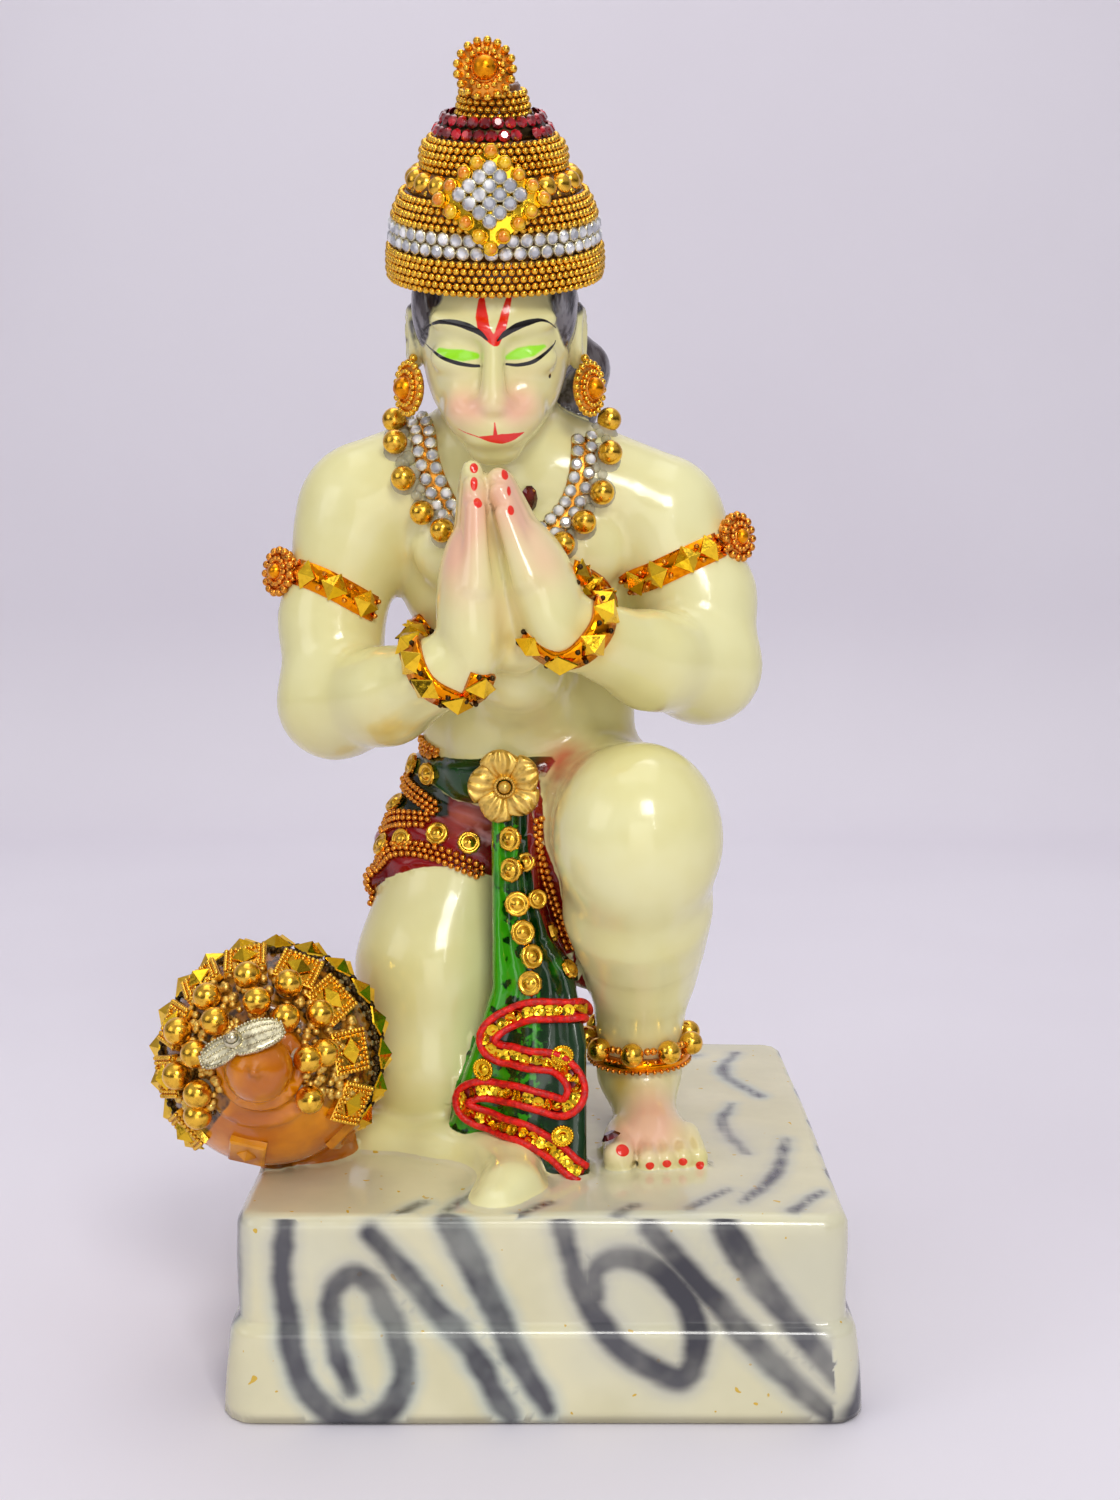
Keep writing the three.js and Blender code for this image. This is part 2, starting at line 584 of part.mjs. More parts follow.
function thin({ points, faces }, goal, care) {
  const place = points.map((p) => p.slice());
  const face = faces.map((f) => f.slice());
  const live = face.map(() => true);
  const around = place.map(() => new Set());
  const quadric = place.map(() => new Array(10).fill(0));
  const version = new Int32Array(place.length);
  const normal = (f, swap, p) => {
    const [a, b, c] = f.map((v) => (swap.includes(v) ? p : place[v]));
    return cross(minus(b, a), minus(c, a));
  };
  face.forEach((f, i) => {
    const n = normal(f, [], null);
    const area = size(n) || 1e-9;
    const m = times(n, 1 / area);
    const q = planeSum(m, -dot(m, place[f[0]]), area);
    for (const v of f) {
      around[v].add(i);
      quadric[v] = quadric[v].map((s, k) => s + q[k]);
    }
  });
  const queue = new Queue();
  const offer = (a, b) => {
    const q = quadric[a].map((s, k) => s + quadric[b][k]);
    const p = bestPoint(q, place[a], place[b]);
    const length = size(minus(place[a], place[b]));
    const cost = (Math.max(error(q, p), 0) + 1e-4 * length * length) * care(p);
    queue.push({ a, b, p, q, cost, va: version[a], vb: version[b] });
  };
  const seen = new Set();
  for (const f of face) {
    for (let k = 0; k < 3; k += 1) {
      const [a, b] = [f[k], f[(k + 1) % 3]].sort((u, v) => u - v);
      const key = a * 4194304 + b;
      if (!seen.has(key)) offer(a, b);
      seen.add(key);
    }
  }
  const neighbours = (v) => {
    const set = new Set();
    for (const i of around[v]) for (const w of face[i]) if (w !== v) set.add(w);
    return set;
  };
  let left = face.length;
  while (left > goal && queue.items.length) {
    const { a, b, p, q, va, vb } = queue.pop();
    if (version[a] !== va || version[b] !== vb) continue;
    const na = neighbours(a);
    const nb = neighbours(b);
    const shared = [...na].filter((v) => nb.has(v));
    const both = [...around[a]].filter((i) => around[b].has(i));
    if (shared.length !== 2 || both.length !== 2) continue;
    if (shared.some((v) => around[v].size <= 3)) continue;
    const kept = [...around[a], ...around[b]].filter((i) => !both.includes(i));
    const flips = kept.some((i) => {
      const old = normal(face[i], [], null);
      const now = normal(face[i], [a, b], p);
      return dot(old, now) < 0.25 * size(old) * size(now) || size(now) < 1e-3;
    });
    if (flips) continue;
    for (const i of both) {
      live[i] = false;
      for (const v of face[i]) around[v].delete(i);
    }
    left -= 2;
    for (const i of around[b]) {
      face[i] = face[i].map((v) => (v === b ? a : v));
      around[a].add(i);
    }
    around[b].clear();
    place[a] = p;
    quadric[a] = q;
    version[a] += 1;
    version[b] = -1;
    for (const v of neighbours(a)) offer(a, v);
  }
  const index = new Map();
  const out = { points: [], faces: [] };
  face.forEach((f, i) => {
    if (!live[i]) return;
    out.faces.push(f.map((v) => {
      if (!index.has(v)) {
        index.set(v, out.points.length);
        out.points.push(place[v]);
      }
      return index.get(v);
    }));
  });
  return out;
}

// joining and cutting closed bodies
const kernel = await Module();
kernel.setup();

function solid({ points, faces }) {
  const index = new Map();
  const flat = [];
  const same = points.map((p) => {
    const key = p.map((v) => Math.round(v * 1e4)).join(",");
    if (!index.has(key)) {
      index.set(key, flat.length / 3);
      flat.push(...p);
    }
    return index.get(key);
  });
  const corner = (v) => [flat[3 * v], flat[3 * v + 1], flat[3 * v + 2]];
  const tris = faces.map((f) => f.map((v) => same[v])).filter((f) => new Set(f).size === 3);
  const volume = tris.reduce((sum, [a, b, c]) => sum + dot(corner(a), cross(corner(b), corner(c))), 0);
  if (volume < 0) tris.forEach((f) => f.reverse());
  const vertProperties = new Float32Array(flat);
  const triVerts = new Uint32Array(tris.flat());
  return new kernel.Manifold(new kernel.Mesh({ numProp: 3, vertProperties, triVerts }));
}
const empty = (s) => s.getMesh().triVerts.length === 0;

// the plinth: rounded rectangles stacked up its profile
function plinth() {
  const splay = STEP_SPLAY;
  const foot = STEP_LEDGE + splay;
  const profile = [
    [0, foot],
    [LOWER_STEP_HEIGHT - EDGE_ROUND, STEP_LEDGE + splay * 0.35],
    [LOWER_STEP_HEIGHT - EDGE_ROUND * 0.35, STEP_LEDGE],
    [LOWER_STEP_HEIGHT, STEP_LEDGE - EDGE_ROUND * 0.6],
    [LOWER_STEP_HEIGHT + 0.8, 0.9],
    [PLINTH_HEIGHT - EDGE_ROUND, 0.2],
    [PLINTH_HEIGHT - EDGE_ROUND * 0.35, -0.4],
    [PLINTH_HEIGHT, -EDGE_ROUND],
  ];
  const quarter = 3;
  const ring = ([z, grow]) => {
    const loop = [];
    for (let c = 0; c < 4; c += 1) {
      const sx = c === 0 || c === 3 ? 1 : -1;
      const sy = c < 2 ? 1 : -1;
      const radius = Math.max(PLINTH_CORNER + grow, 1);
      for (let i = 0; i <= quarter; i += 1) {
        const angle = ((c + i / quarter) * Math.PI) / 2;
        const x = sx * (PLINTH_WIDTH / 2 + grow - radius) + radius * Math.cos(angle);
        const y = sy * (PLINTH_DEPTH / 2 + grow - radius) + radius * Math.sin(angle);
        loop.push([x, y, z]);
      }
    }
    return loop;
  };
  return loft(profile.map(ring));
}

// closed body through equal rings of points, capped at both ends
function loft(rings, ringed = false) {
  const n = rings[0].length;
  const points = rings.flat();
  const faces = [];
  const last = ringed ? rings.length : rings.length - 1;
  for (let i = 0; i < last; i += 1) {
    for (let j = 0; j < n; j += 1) {
      const a = i * n + j;
      const b = i * n + ((j + 1) % n);
      const c = ((i + 1) % rings.length) * n + j;
      const d = ((i + 1) % rings.length) * n + ((j + 1) % n);
      faces.push([a, b, d], [a, d, c]);
    }
  }
  if (!ringed) {
    for (let j = 1; j < n - 1; j += 1) {
      faces.push([0, j + 1, j]);
      faces.push([(rings.length - 1) * n, (rings.length - 1) * n + j, (rings.length - 1) * n + j + 1]);
    }
  }
  return { points, faces };
}

// the casting
// near 1 close to a spot and 0 well outside the reach
const nearness = (p, spot, reach) => Math.exp(-((size(minus(p, spot)) / reach) ** 2));
const careful = (p) => {
  const face = nearness(inHead(p), [0, 15, -2], 12);
  const palms = nearness(p, [-5, -28, 110], 13);
  const feet = nearness(p, [19, -24, 3], 11);
  return 1 + 24 * face + 6 * palms + 6 * feet;
};

function castFigure() {
  for (let shift = 0; shift < 1; shift += 0.13) {
    const low = [-72 + shift, -58 + shift, -5 + shift];
    const net = skin(castBody, low, [46, 54, 192], 2);
    if (closes(net)) return thin(net, CASTING_FACETS, careful);
  }
  throw new Error("the body's skin does not close");
}

const toPlace = (p) => [p[0] * BODY_STEP, p[1] * BODY_STEP, PLINTH_HEIGHT + p[2] * BODY_STEP];
const figure = castFigure();
figure.points = figure.points.map(toPlace);
const casting = solid(figure).add(solid(plinth()));

// where trims sit: points on the body, in steps
function slope(p) {
  const step = 0.4;
  const n = [0, 1, 2].map((k) => {
    const a = p.slice();
    const b = p.slice();
    a[k] += step;
    b[k] -= step;
    return body(a) - body(b);
  });
  return unit(n);
}

// nearest point of the body's skin
function settle(p) {
  let at = p;
  for (let i = 0; i < 4; i += 1) at = minus(at, times(slope(at), body(at) * 0.95));
  return at;
}

// first point of the body met on the way from a start
function meet(start, way) {
  let at = start;
  for (let i = 0; i < 90; i += 1) {
    const d = body(at);
    if (d < 0.02) return at;
    at = add(at, times(way, d * 0.8));
  }
  return at;
}

// the front of the body at x, z; nothing behind the given depth counts
function onFront(x, z, start = -60, deepest = 60) {
  const at = meet([x, start, z], [0, 1, 0]);
  return at[1] > deepest ? [x, deepest, z] : at;
}

// from inside a limb outwards, at an angle about its axis; angle 0 is the body's right
function around(centre, axis, angle) {
  const a = unit(axis);
  const zero = unit(minus([-1, 0, 0], times(a, -a[0])));
  const quarter = cross(a, zero);
  const way = add(times(zero, Math.cos(angle)), times(quarter, Math.sin(angle)));
  let at = centre;
  for (let i = 0; i < 60 && body(at) < -0.02; i += 1) {
    at = add(at, times(way, Math.max(-body(at), 0.05) * 0.8));
  }
  return at;
}

// a path's length, and the point at any reach along it
function walk(path, closed = false) {
  const line = closed ? [...path, path[0]] : path;
  const reach = [0];
  for (let i = 1; i < line.length; i += 1) reach.push(reach[i - 1] + size(minus(line[i], line[i - 1])));
  const total = reach[reach.length - 1];
  const at = (want) => {
    const s = closed ? (want + total) % total : clamp(want, 0, total);
    let k = 1;
    while (k < line.length - 1 && reach[k] < s) k += 1;
    const t = (s - reach[k - 1]) / (reach[k] - reach[k - 1] || 1);
    return line[k - 1].map((v, n) => mix(v, line[k][n], clamp(t, 0, 1)));
  };
  return { total, at };
}

// evenly spaced points along a path
function spaced(path, number, closed = false) {
  const { total, at } = walk(path, closed);
  return counted(number, (i) => at((total * i) / (closed ? number : number - 1)));
}

const counted = (number, make) => Array.from({ length: number }, (v, i) => make(i));
const steps = (from, to, number) => counted(number, (i) => mix(from, to, i / (number - 1)));
const radians = (degrees) => (degrees * Math.PI) / 180;

// trim shapes, in millimetres
// a strip along points on the body: section(i) lists [across, height] round the strip
function strip(path, section, lift, closed = false) {
  const n = path.length;
  const rings = path.map((p, i) => {
    const before = path[closed ? (i + n - 1) % n : Math.max(i - 1, 0)];
    const after = path[closed ? (i + 1) % n : Math.min(i + 1, n - 1)];
    const out = slope(p);
    const way = unit(minus(after, before));
    const side = unit(cross(way, out));
    const high = cross(side, way);
    const spot = (across, height) => add(toPlace(p), add(times(side, across), times(high, height)));
    return section(i).map(([across, height]) => spot(across, height + lift));
  });
  return solid(loft(rings, closed));
}

// a turned body from [radius, height] pairs, its first and last radius 0
function turned(at, out, profile, count, shape = () => 1) {
  const side = unit(cross(Math.abs(out[2]) < 0.9 ? [0, 0, 1] : [1, 0, 0], out));
  const other = cross(out, side);
  const points = [];
  const faces = [];
  const inner = profile.slice(1, -1);
  points.push(add(at, times(out, profile[0][1])));
  inner.forEach(([radius, height]) => {
    for (let i = 0; i < count; i += 1) {
      const angle = (2 * Math.PI * i) / count;
      const r = radius * shape(i, height);
      const round = add(times(side, r * Math.cos(angle)), times(other, r * Math.sin(angle)));
      points.push(add(add(at, times(out, height)), round));
    }
  });
  points.push(add(at, times(out, profile[profile.length - 1][1])));
  const last = points.length - 1;
  for (let i = 0; i < count; i += 1) {
    const j = (i + 1) % count;
    faces.push([0, 1 + j, 1 + i]);
    for (let k = 0; k < inner.length - 1; k += 1) {
      const a = 1 + k * count;
      faces.push([a + i, a + j, a + count + j], [a + i, a + count + j, a + count + i]);
    }
    const b = 1 + (inner.length - 1) * count;
    faces.push([last, b + i, b + j]);
  }
  return solid({ points, faces });
}

// beads on a thread along points on the body
const THREAD_RADIUS = 0.45;
function threaded(path, number, lift, closed = false) {
  const { total, at } = walk(path, closed);
  const r = BEAD_RADIUS;
  const pitch = closed ? total / number : (total - (2 * r) / BODY_STEP) / (number - 1);
  const profile = [[-0.92, THREAD_RADIUS], [0, r], [0.92, THREAD_RADIUS]];
  const stations = [];
  for (let i = 0; i < number; i += 1) {
    const middle = closed ? pitch * i : r / BODY_STEP + pitch * i;
    for (const [share, radius] of profile) {
      stations.push({ p: at(middle + (share * r) / BODY_STEP), radius });
    }
  }
  const section = (i) => [0, 1, 2, 3, 4].map((k) => {
    const angle = radians(90 - 72 * k);
    return [stations[i].radius * Math.cos(angle), r + stations[i].radius * Math.sin(angle)];
  });
  return strip(stations.map((s) => s.p), section, lift, closed);
}

// sections: a flat band, a row of pyramids, and a chain that swells at every second station
const flatBar = (width, high) => () => {
  const half = width / 2;
  return [[-half, 0], [-half, high], [half, high], [half, 0]];
};
const pointed = (width, foot, tip) => (i) => [[-width / 2, 0], [0, i % 2 ? tip : foot], [width / 2, 0]];
const chainBar = (width, high) => (i) => {
  const half = width / 2;
  const ridge = high * (i % 2 ? 1 : 0.8);
  return [[-half, 0], [-half, high * 0.6], [0, ridge], [half, high * 0.6], [half, 0]];
};

// placing: a trim is lifted off the body until it clears everything by the trim gap
function swell({ points, faces }, amount) {
  const normals = points.map(() => [0, 0, 0]);
  for (const f of faces) {
    const n = cross(minus(points[f[1]], points[f[0]]), minus(points[f[2]], points[f[0]]));
    for (const v of f) normals[v] = add(normals[v], n);
  }
  return solid({ points: points.map((p, i) => add(p, times(unit(normals[i]), amount))), faces });
}

function listed(body3) {
  const mesh = body3.getMesh();
  const points = [];
  const faces = [];
  for (let i = 0; i < mesh.vertProperties.length; i += 3) {
    points.push(Array.from(mesh.vertProperties.slice(i, i + 3)));
  }
  for (let i = 0; i < mesh.triVerts.length; i += 3) {
    faces.push(Array.from(mesh.triVerts.slice(i, i + 3)));
  }
  return { points, faces };
}

const group = new THREE.Group();
group.name = "kneeling_figure";
const taken = [swell(listed(casting), TRIM_GAP)];

function addMesh(name, body3, look) {
  const { points, faces } = listed(body3);
  const geometry = new THREE.BufferGeometry();
  geometry.setAttribute("position", new THREE.Float32BufferAttribute(points.flat(), 3));
  geometry.setIndex(faces.flat());
  const [color, roughness, metalness] = look;
  const mesh = new THREE.Mesh(geometry, new THREE.MeshStandardMaterial({ color, roughness, metalness }));
  mesh.name = name;
  group.add(mesh);
}

// the largest piece left after cutting away what is taken
function cutFree(body3) {
  const { points, faces } = listed(taken.reduce((s, other) => s.subtract(other), body3));
  const owner = points.map((p, i) => i);
  const root = (i) => {
    let r = i;
    while (owner[r] !== r) r = owner[r];
    return r;
  };
  for (const f of faces) {
    owner[root(f[1])] = root(f[0]);
    owner[root(f[2])] = root(f[0]);
  }
  const heap = new Map();
  for (const f of faces) heap.set(root(f[0]), [...(heap.get(root(f[0])) || []), f]);
  const largest = [...heap.values()].reduce((a, b) => (b.length > a.length ? b : a));
  return solid({ points, faces: largest });
}

function place(name, make, look) {
  let body3 = null;
  for (let lift = TRIM_GAP; lift < 2.6 && !body3; lift += 0.15) {
    const trial = make(lift);
    if (taken.every((other) => empty(trial.intersect(other)))) body3 = trial;
  }
  body3 = body3 || cutFree(make(TRIM_GAP));
  taken.push(swell(listed(body3), TRIM_GAP));
  addMesh(name, body3, look);
}

const CREAM = [0xe6e6c8, 0.3, 0];
const GOLD = [0xd9a53a, 0.3, 1];
const CLEAR = [0xf0f2f6, 0.1, 0];
const RED_STONE = [0x8a1020, 0.15, 0];
const RED_CORD = [0xc81616, 0.7, 0];
const SILVER_GOLD = [0xc9bf9a, 0.35, 1];

addMesh("casting", casting, CREAM);

// crown: rings up the core, each between two heights
const crownRadius = (height) => along(CROWN_CORE, height) * BODY_STEP;
const crownPoint = (radius, angle, height) => {
  const base = toPlace(CROWN_BASE);
  const flat = add(times([1, 0, 0], radius * Math.sin(angle)), times(FORWARD, radius * Math.cos(angle)));
  return add(add(base, flat), times(UPWARD, height));
};

// rows of beads show as ridges; scallop draws every second outer point in
function crownRing(name, low, high, rows, thickness, turns, look, scallop = 0) {
  place(name, (lift) => {
    const bottom = low * BODY_STEP + TRIM_GAP / 2;
    const top = high * BODY_STEP - TRIM_GAP / 2;
    const inner = (height) => crownRadius(height / BODY_STEP) + lift;
    const rings = [];
    for (let i = 0; i < turns; i += 1) {
      const angle = (2 * Math.PI * i) / turns;
      const deep = i % 2 ? 1 : 1 - scallop;
      const ring = [crownPoint(inner(bottom), angle, bottom), crownPoint(inner(top), angle, top)];
      for (let row = 0; row <= 2 * rows; row += 1) {
        const height = mix(top, bottom, row / (2 * rows));
        const bulge = row % 2 ? 1 : 0.62;
        ring.push(crownPoint(inner(height) + thickness * bulge * deep, angle, height));
      }
      rings.push(ring);
    }
    return solid(loft(rings, true));
  }, look);
}
crownRing("crown_brim_chain", 0, 5, 2, CHAIN_THICKNESS, 18, GOLD);
crownRing("crown_stone_band", 5.3, 9.2, 1, STONE_THICKNESS, 20, CLEAR);
crownRing("crown_middle_chain", 9.5, 13.8, 1, CHAIN_THICKNESS, 18, GOLD);
crownRing("crown_dome_row", 14.1, 17.4, 1, BEAD_RADIUS, 26, GOLD, 0.5);
crownRing("crown_upper_chain", 17.7, 22.4, 2, CHAIN_THICKNESS, 14, GOLD);
crownRing("crown_red_band", 22.7, 25.5, 1, CHAIN_THICKNESS, 14, RED_STONE);
crownRing("crown_top_chain", 25.8, 30, 1, CHAIN_THICKNESS, 12, GOLD);

// a lozenge of stones bent round the crown's front, the clear middle proud of its frame
const BROOCH_HALF_WIDTH = 9.6;
const BROOCH_LOW = 3.6;
const BROOCH_HIGH = 19.6;
function lozenge(share, back, front, lift) {
  const middle = (BROOCH_LOW + BROOCH_HIGH) / 2;
  const half = ((BROOCH_HIGH - BROOCH_LOW) / 2) * share;
  const lean = (height) => mix(19.6, 14.6, (height - BROOCH_LOW) / (BROOCH_HIGH - BROOCH_LOW));
  const spread = (BROOCH_HALF_WIDTH * share) / 18;
  const rings = steps(-spread, spread, 7).map((angle) => {
    const tall = half * (1 - Math.abs(angle) / spread) + 0.4;
    const corner = (height, depth) => {
      const radius = (lean(height) + depth) * BODY_STEP + lift;
      return crownPoint(radius, angle, height * BODY_STEP);
    };
    const low = middle - tall;
    const high = middle + tall;
    return [corner(low, back), corner(high, back), corner(high, front), corner(low, front)];
  });
  return solid(loft(rings));
}
place("crown_brooch", (lift) => lozenge(1, 0, 1.4, lift).add(lozenge(0.62, 0.5, 2.3, lift)), GOLD);

const rosetteProfile = (r) => [[0, 0], [r * 0.9, 0], [r, 0.9], [r * 0.6, 1.7], [r * 0.42, 1.5], [0, 2.9]];
const CROWN_ROSETTE_HEIGHT = 30.5;
place("crown_rosette", (lift) => {
  const way = unit(add(FORWARD, times(UPWARD, 0.42)));
  const reach = crownRadius(CROWN_ROSETTE_HEIGHT) + CHAIN_THICKNESS + lift;
  const at = crownPoint(reach, 0, CROWN_ROSETTE_HEIGHT * BODY_STEP);
  return turned(at, way, rosetteProfile(ROSETTE_RADIUS * 1.05), 12, (i) => (i % 2 ? 1 : 0.9));
}, GOLD);

// earrings: rosettes over the lobes, turned outward
const EARRINGS = { right: [-22.9, -9.2, 134.8], left: [7.1, -9.2, 134.8] };
for (const [side, spot] of Object.entries(EARRINGS)) {
  const out = unit([side === "right" ? -0.84 : 0.84, -0.54, 0]);
  place(`earring_${side}`, (lift) => {
    const at = add(toPlace(spot), times(out, lift - TRIM_GAP));
    return turned(at, out, rosetteProfile(EARRING_RADIUS), 10, (i) => (i % 2 ? 1 : 0.88));
  }, GOLD);
}

// necklace: two rows of stones on a strip, beads along its outer edge
const NECKLACE_MIDDLE = -7.8;
const NECKLACE_SPAN = 14.5;
const NECKLACE_DROP = 22.8;
const NECKLACE_BOTTOM = 104;
const CHEST_DEPTH = -16;
const necklacePoint = (t) => {
  const rise = NECKLACE_DROP * Math.abs(t) ** 1.6;
  return onFront(NECKLACE_MIDDLE + NECKLACE_SPAN * t, NECKLACE_BOTTOM + rise, CHEST_DEPTH, 4);
};
const necklaceLine = steps(-1.04, 1.04, 41).map(necklacePoint);
const NECKLACE_BEADS = 12;
const necklaceStrip = spaced(necklaceLine, 15).map(settle);
const necklaceBand = flatBar(NECKLACE_WIDTH, STONE_THICKNESS);
place("necklace_strip", (lift) => strip(necklaceStrip, necklaceBand, lift), CLEAR);
place("necklace_beads", (lift) => {
  const outset = (NECKLACE_WIDTH / 2 + BEAD_RADIUS + lift) / BODY_STEP;
  const line = spaced(necklaceLine, 25).map((p, i, all) => {
    const way = unit(minus(all[Math.min(i + 1, 24)], all[Math.max(i - 1, 0)]));
    return settle(add(p, times(unit(cross(way, slope(p))), outset)));
  });
  return threaded(line, NECKLACE_BEADS, lift);
}, GOLD);

// armlets and bracelets: rows of small pyramids
const pyramidStations = (path) => {
  const total = path.slice(1).reduce((sum, p, i) => sum + size(minus(p, path[i])), 0) * BODY_STEP;
  return 2 * Math.max(Math.round(total / PYRAMID_SIZE), 2) + 1;
};
function pyramidStrip(name, path, width = PYRAMID_SIZE) {
  const line = spaced(path, pyramidStations(path));
  place(name, (lift) => strip(line, pointed(width, 0.5, PYRAMID_HEIGHT + 0.5), lift), GOLD);
}
const ARMLETS = {
  right: { centre: [-37.6, 0.6, 99.4], axis: [0.32, 0, 0.95], from: 28, to: 150, rosette: [-45.1, -3.6, 103] },
  left: { centre: [25.6, 1.4, 105], axis: [-0.39, 0, 0.92], from: 30, to: 154, rosette: [31.7, -5.1, 108.8] },
};
for (const [side, { centre, axis, from, to, rosette }] of Object.entries(ARMLETS)) {
  place(`armlet_rosette_${side}`, (lift) => {
    const spot = settle(rosette);
    const out = unit([side === "right" ? -0.7 : 0.7, -0.7, 0.12]);
    const at = add(toPlace(spot), times(out, lift));
    return turned(at, out, rosetteProfile(ROSETTE_RADIUS), 10, (i) => (i % 2 ? 1 : 0.88));
  }, GOLD);
  const arc = steps(radians(from), radians(to), 24).map((a) => around(centre, axis, a));
  pyramidStrip(`armlet_${side}`, arc, ARMLET_WIDTH);
}
const WRIST_SIDE = -22;
// arcs on the front of the wrists: middle x, z, radius, first and last angle from the body's left
const BRACELETS = { right: [-15.4, 89.6, 7, 176, 322], left: [4, 96, 7.4, 50, -154] };
for (const [side, [x, z, r, from, to]] of Object.entries(BRACELETS)) {
  const onWrist = (a) => settle(onFront(x + r * Math.cos(a), z + r * Math.sin(a), -60, WRIST_SIDE));
  const arc = steps(radians(from), radians(to), 24).map(onWrist);
  pyramidStrip(`bracelet_${side}`, arc);
}

// waist: a flower on the belt's knot, chains, and coins between them
const FLOWER_SPOT = [-6.9, 66.6];
place("waist_flower", (lift) => {
  const at = onFront(...FLOWER_SPOT);
  const r = FLOWER_RADIUS;
  const profile = [[0, 0], [r * 0.9, 0.2], [r, 1], [r * 0.5, 1.2], [r * 0.3, 1.9], [0, 2.6]];
  return turned(add(toPlace(at), [0, -lift, 0]), [0, -1, 0], profile, 18, (i) => (i % 3 ? 1 : 0.8));
}, GOLD);

const HIP_SIDE = 3;
const onHip = ([x, z]) => settle(onFront(x, z, -60, HIP_SIDE));
const frontLine = (pairs, number) => spaced(pairs.map(onHip), number);
// x, z of each chain's line on the body's front, and its width
const CHAINS = {
  waist_chain_right: [[[-24.6, 71.4], [-22.4, 70.4], [-20, 69.2]], 2.6, 5],
  hip_chain_upper: [[[-27.4, 64], [-24.6, 62.8], [-22, 61.6], [-19.4, 60.2]], 2.6, 8],
  hip_chain_lower: [[[-30.6, 54.8], [-28.6, 56.2], [-25.6, 57.2], [-21.8, 57]], 2.2, 8],
  hem_chain: [[[-33.2, 42], [-32.9, 45.3], [-29.9, 50.2], [-25, 51.6], [-19, 51.4], [-13.8, 49.4]], 2.6, 14],
};
for (const [name, [pairs, width, number]] of Object.entries(CHAINS)) {
  place(name, (lift) => strip(frontLine(pairs, number), chainBar(width, CHAIN_THICKNESS), lift), GOLD);
}
place("drape_chain", (lift) => {
  const pairs = [[-0.4, 57], [-0.4, 53.8], [0.6, 49.8], [1.6, 46.5], [2.8, 42.5], [3.8, 39], [4.8, 36.6]];
  return strip(frontLine(pairs, 12), chainBar(1.6, CHAIN_THICKNESS), lift);
}, GOLD);

function disc(name, spot, radius, thickness) {
  place(name, (lift) => {
    const at = onHip(spot);
    const out = slope(at);
    const profile = [[0, 0], [radius, 0], [radius * 0.8, thickness], [0, thickness * 1.3]];
    return turned(add(toPlace(at), times(out, lift)), out, profile, 7);
  }, GOLD);
}
const SASH_STUDS = [[-5.9, 56.3], [-5.7, 50.9], [-4.8, 45], [-3.9, 40.1], [-2.4, 35.9], [-2.4, 31.4]];
SASH_STUDS.forEach((spot, i) => disc(`sash_stud_${i + 1}`, spot, STUD_RADIUS, STUD_THICKNESS));
const DRAPE_STUDS = [[-3, 52.2], [-1.4, 45.8], [1.1, 39.6], [3.6, 33.6]];
DRAPE_STUDS.forEach((spot, i) => disc(`drape_stud_${i + 1}`, spot, STUD_RADIUS * 0.55, STUD_THICKNESS));
const HIP_COINS = [
  [-13.7, 54],
  [-19.4, 55.5],
  [-26.1, 53.8],
  [-30, 52.4],
  [-27.7, 59.5],
  [-24.5, 66.6],
  [-21.2, 65.9],
];
HIP_COINS.forEach((spot, i) => disc(`hip_coin_${i + 1}`, spot, COIN_RADIUS, STUD_THICKNESS));

// braid: a cord laid in bows down the foot of the sash
const BRAID_TOP = 27;
const BRAID_BOWS = 3.5;
const BRAID_MIDDLE = [[0, 4], [4, 0.5], [10, -4.6], [17, -2.6], [27, -1.6]];
const BRAID_REACH = [[0, 3], [4, 5], [10, 8.6], [17, 5.4], [27, 4.6]];
place("sash_braid", (lift) => {
  const line = steps(0, 1, 90).map((t) => {
    const z = mix(BRAID_TOP, 1.6, t);
    const x = along(BRAID_MIDDLE, z) + along(BRAID_REACH, z) * Math.sin(2 * Math.PI * BRAID_BOWS * t - 1.2);
    return onFront(x, z, -60, -14);
  });
  const r = BRAID_RADIUS;
  return strip(spaced(line, 36), () => [[-r, 0], [-r * 0.6, r * 1.5], [r * 0.6, r * 1.5], [r, 0]], lift);
}, RED_CORD);

// anklet: a band, and beads on a thread above it
const ANKLE = [17.3, -7.6, 14.8];
const ANKLET_RISE = 3.4;
const ANKLET_BEADS = 12;
const ankleRing = (z, number) => {
  const centre = add(ANKLE, [0, 0, z]);
  return counted(number, (i) => around(centre, [0, 0.12, 1], (2 * Math.PI * i) / number));
};
place("anklet_band", (lift) => strip(ankleRing(0, 18), flatBar(2.2, 1.2), lift, true), GOLD);
place("anklet_beads", (lift) => threaded(ankleRing(ANKLET_RISE, 24), ANKLET_BEADS, lift, true), GOLD);

// mace: arcs of beads, tiles and pyramids round the knob
const maceUp = unit(minus([0, 0, 1], times(MACE_OUT, MACE_OUT[2])));
const maceSide = cross(maceUp, MACE_OUT);
function onMace(polar, turn) {
  const ring = add(times(maceUp, Math.cos(radians(turn))), times(maceSide, Math.sin(radians(turn))));
  const way = add(times(MACE_OUT, Math.cos(radians(polar))), times(ring, Math.sin(radians(polar))));
  return add(MACE, times(way, 18.5));
}
function maceBeads(name, polar, from, to, number) {
  const line = steps(from, to, number * 4).map((turn) => onMace(polar, turn));
  place(name, (lift) => threaded(line, number, lift), GOLD);
}
maceBeads("mace_beads_inner", 32, -115, 116, 7);
maceBeads("mace_beads_outer", 47, -101, 86, 7);
place("mace_tiles", (lift) => {
  const line = steps(-136, 122, 19).map((turn) => onMace(62, turn));
  return strip(line, pointed(TILE_SIZE, 1, 2), lift);
}, GOLD);
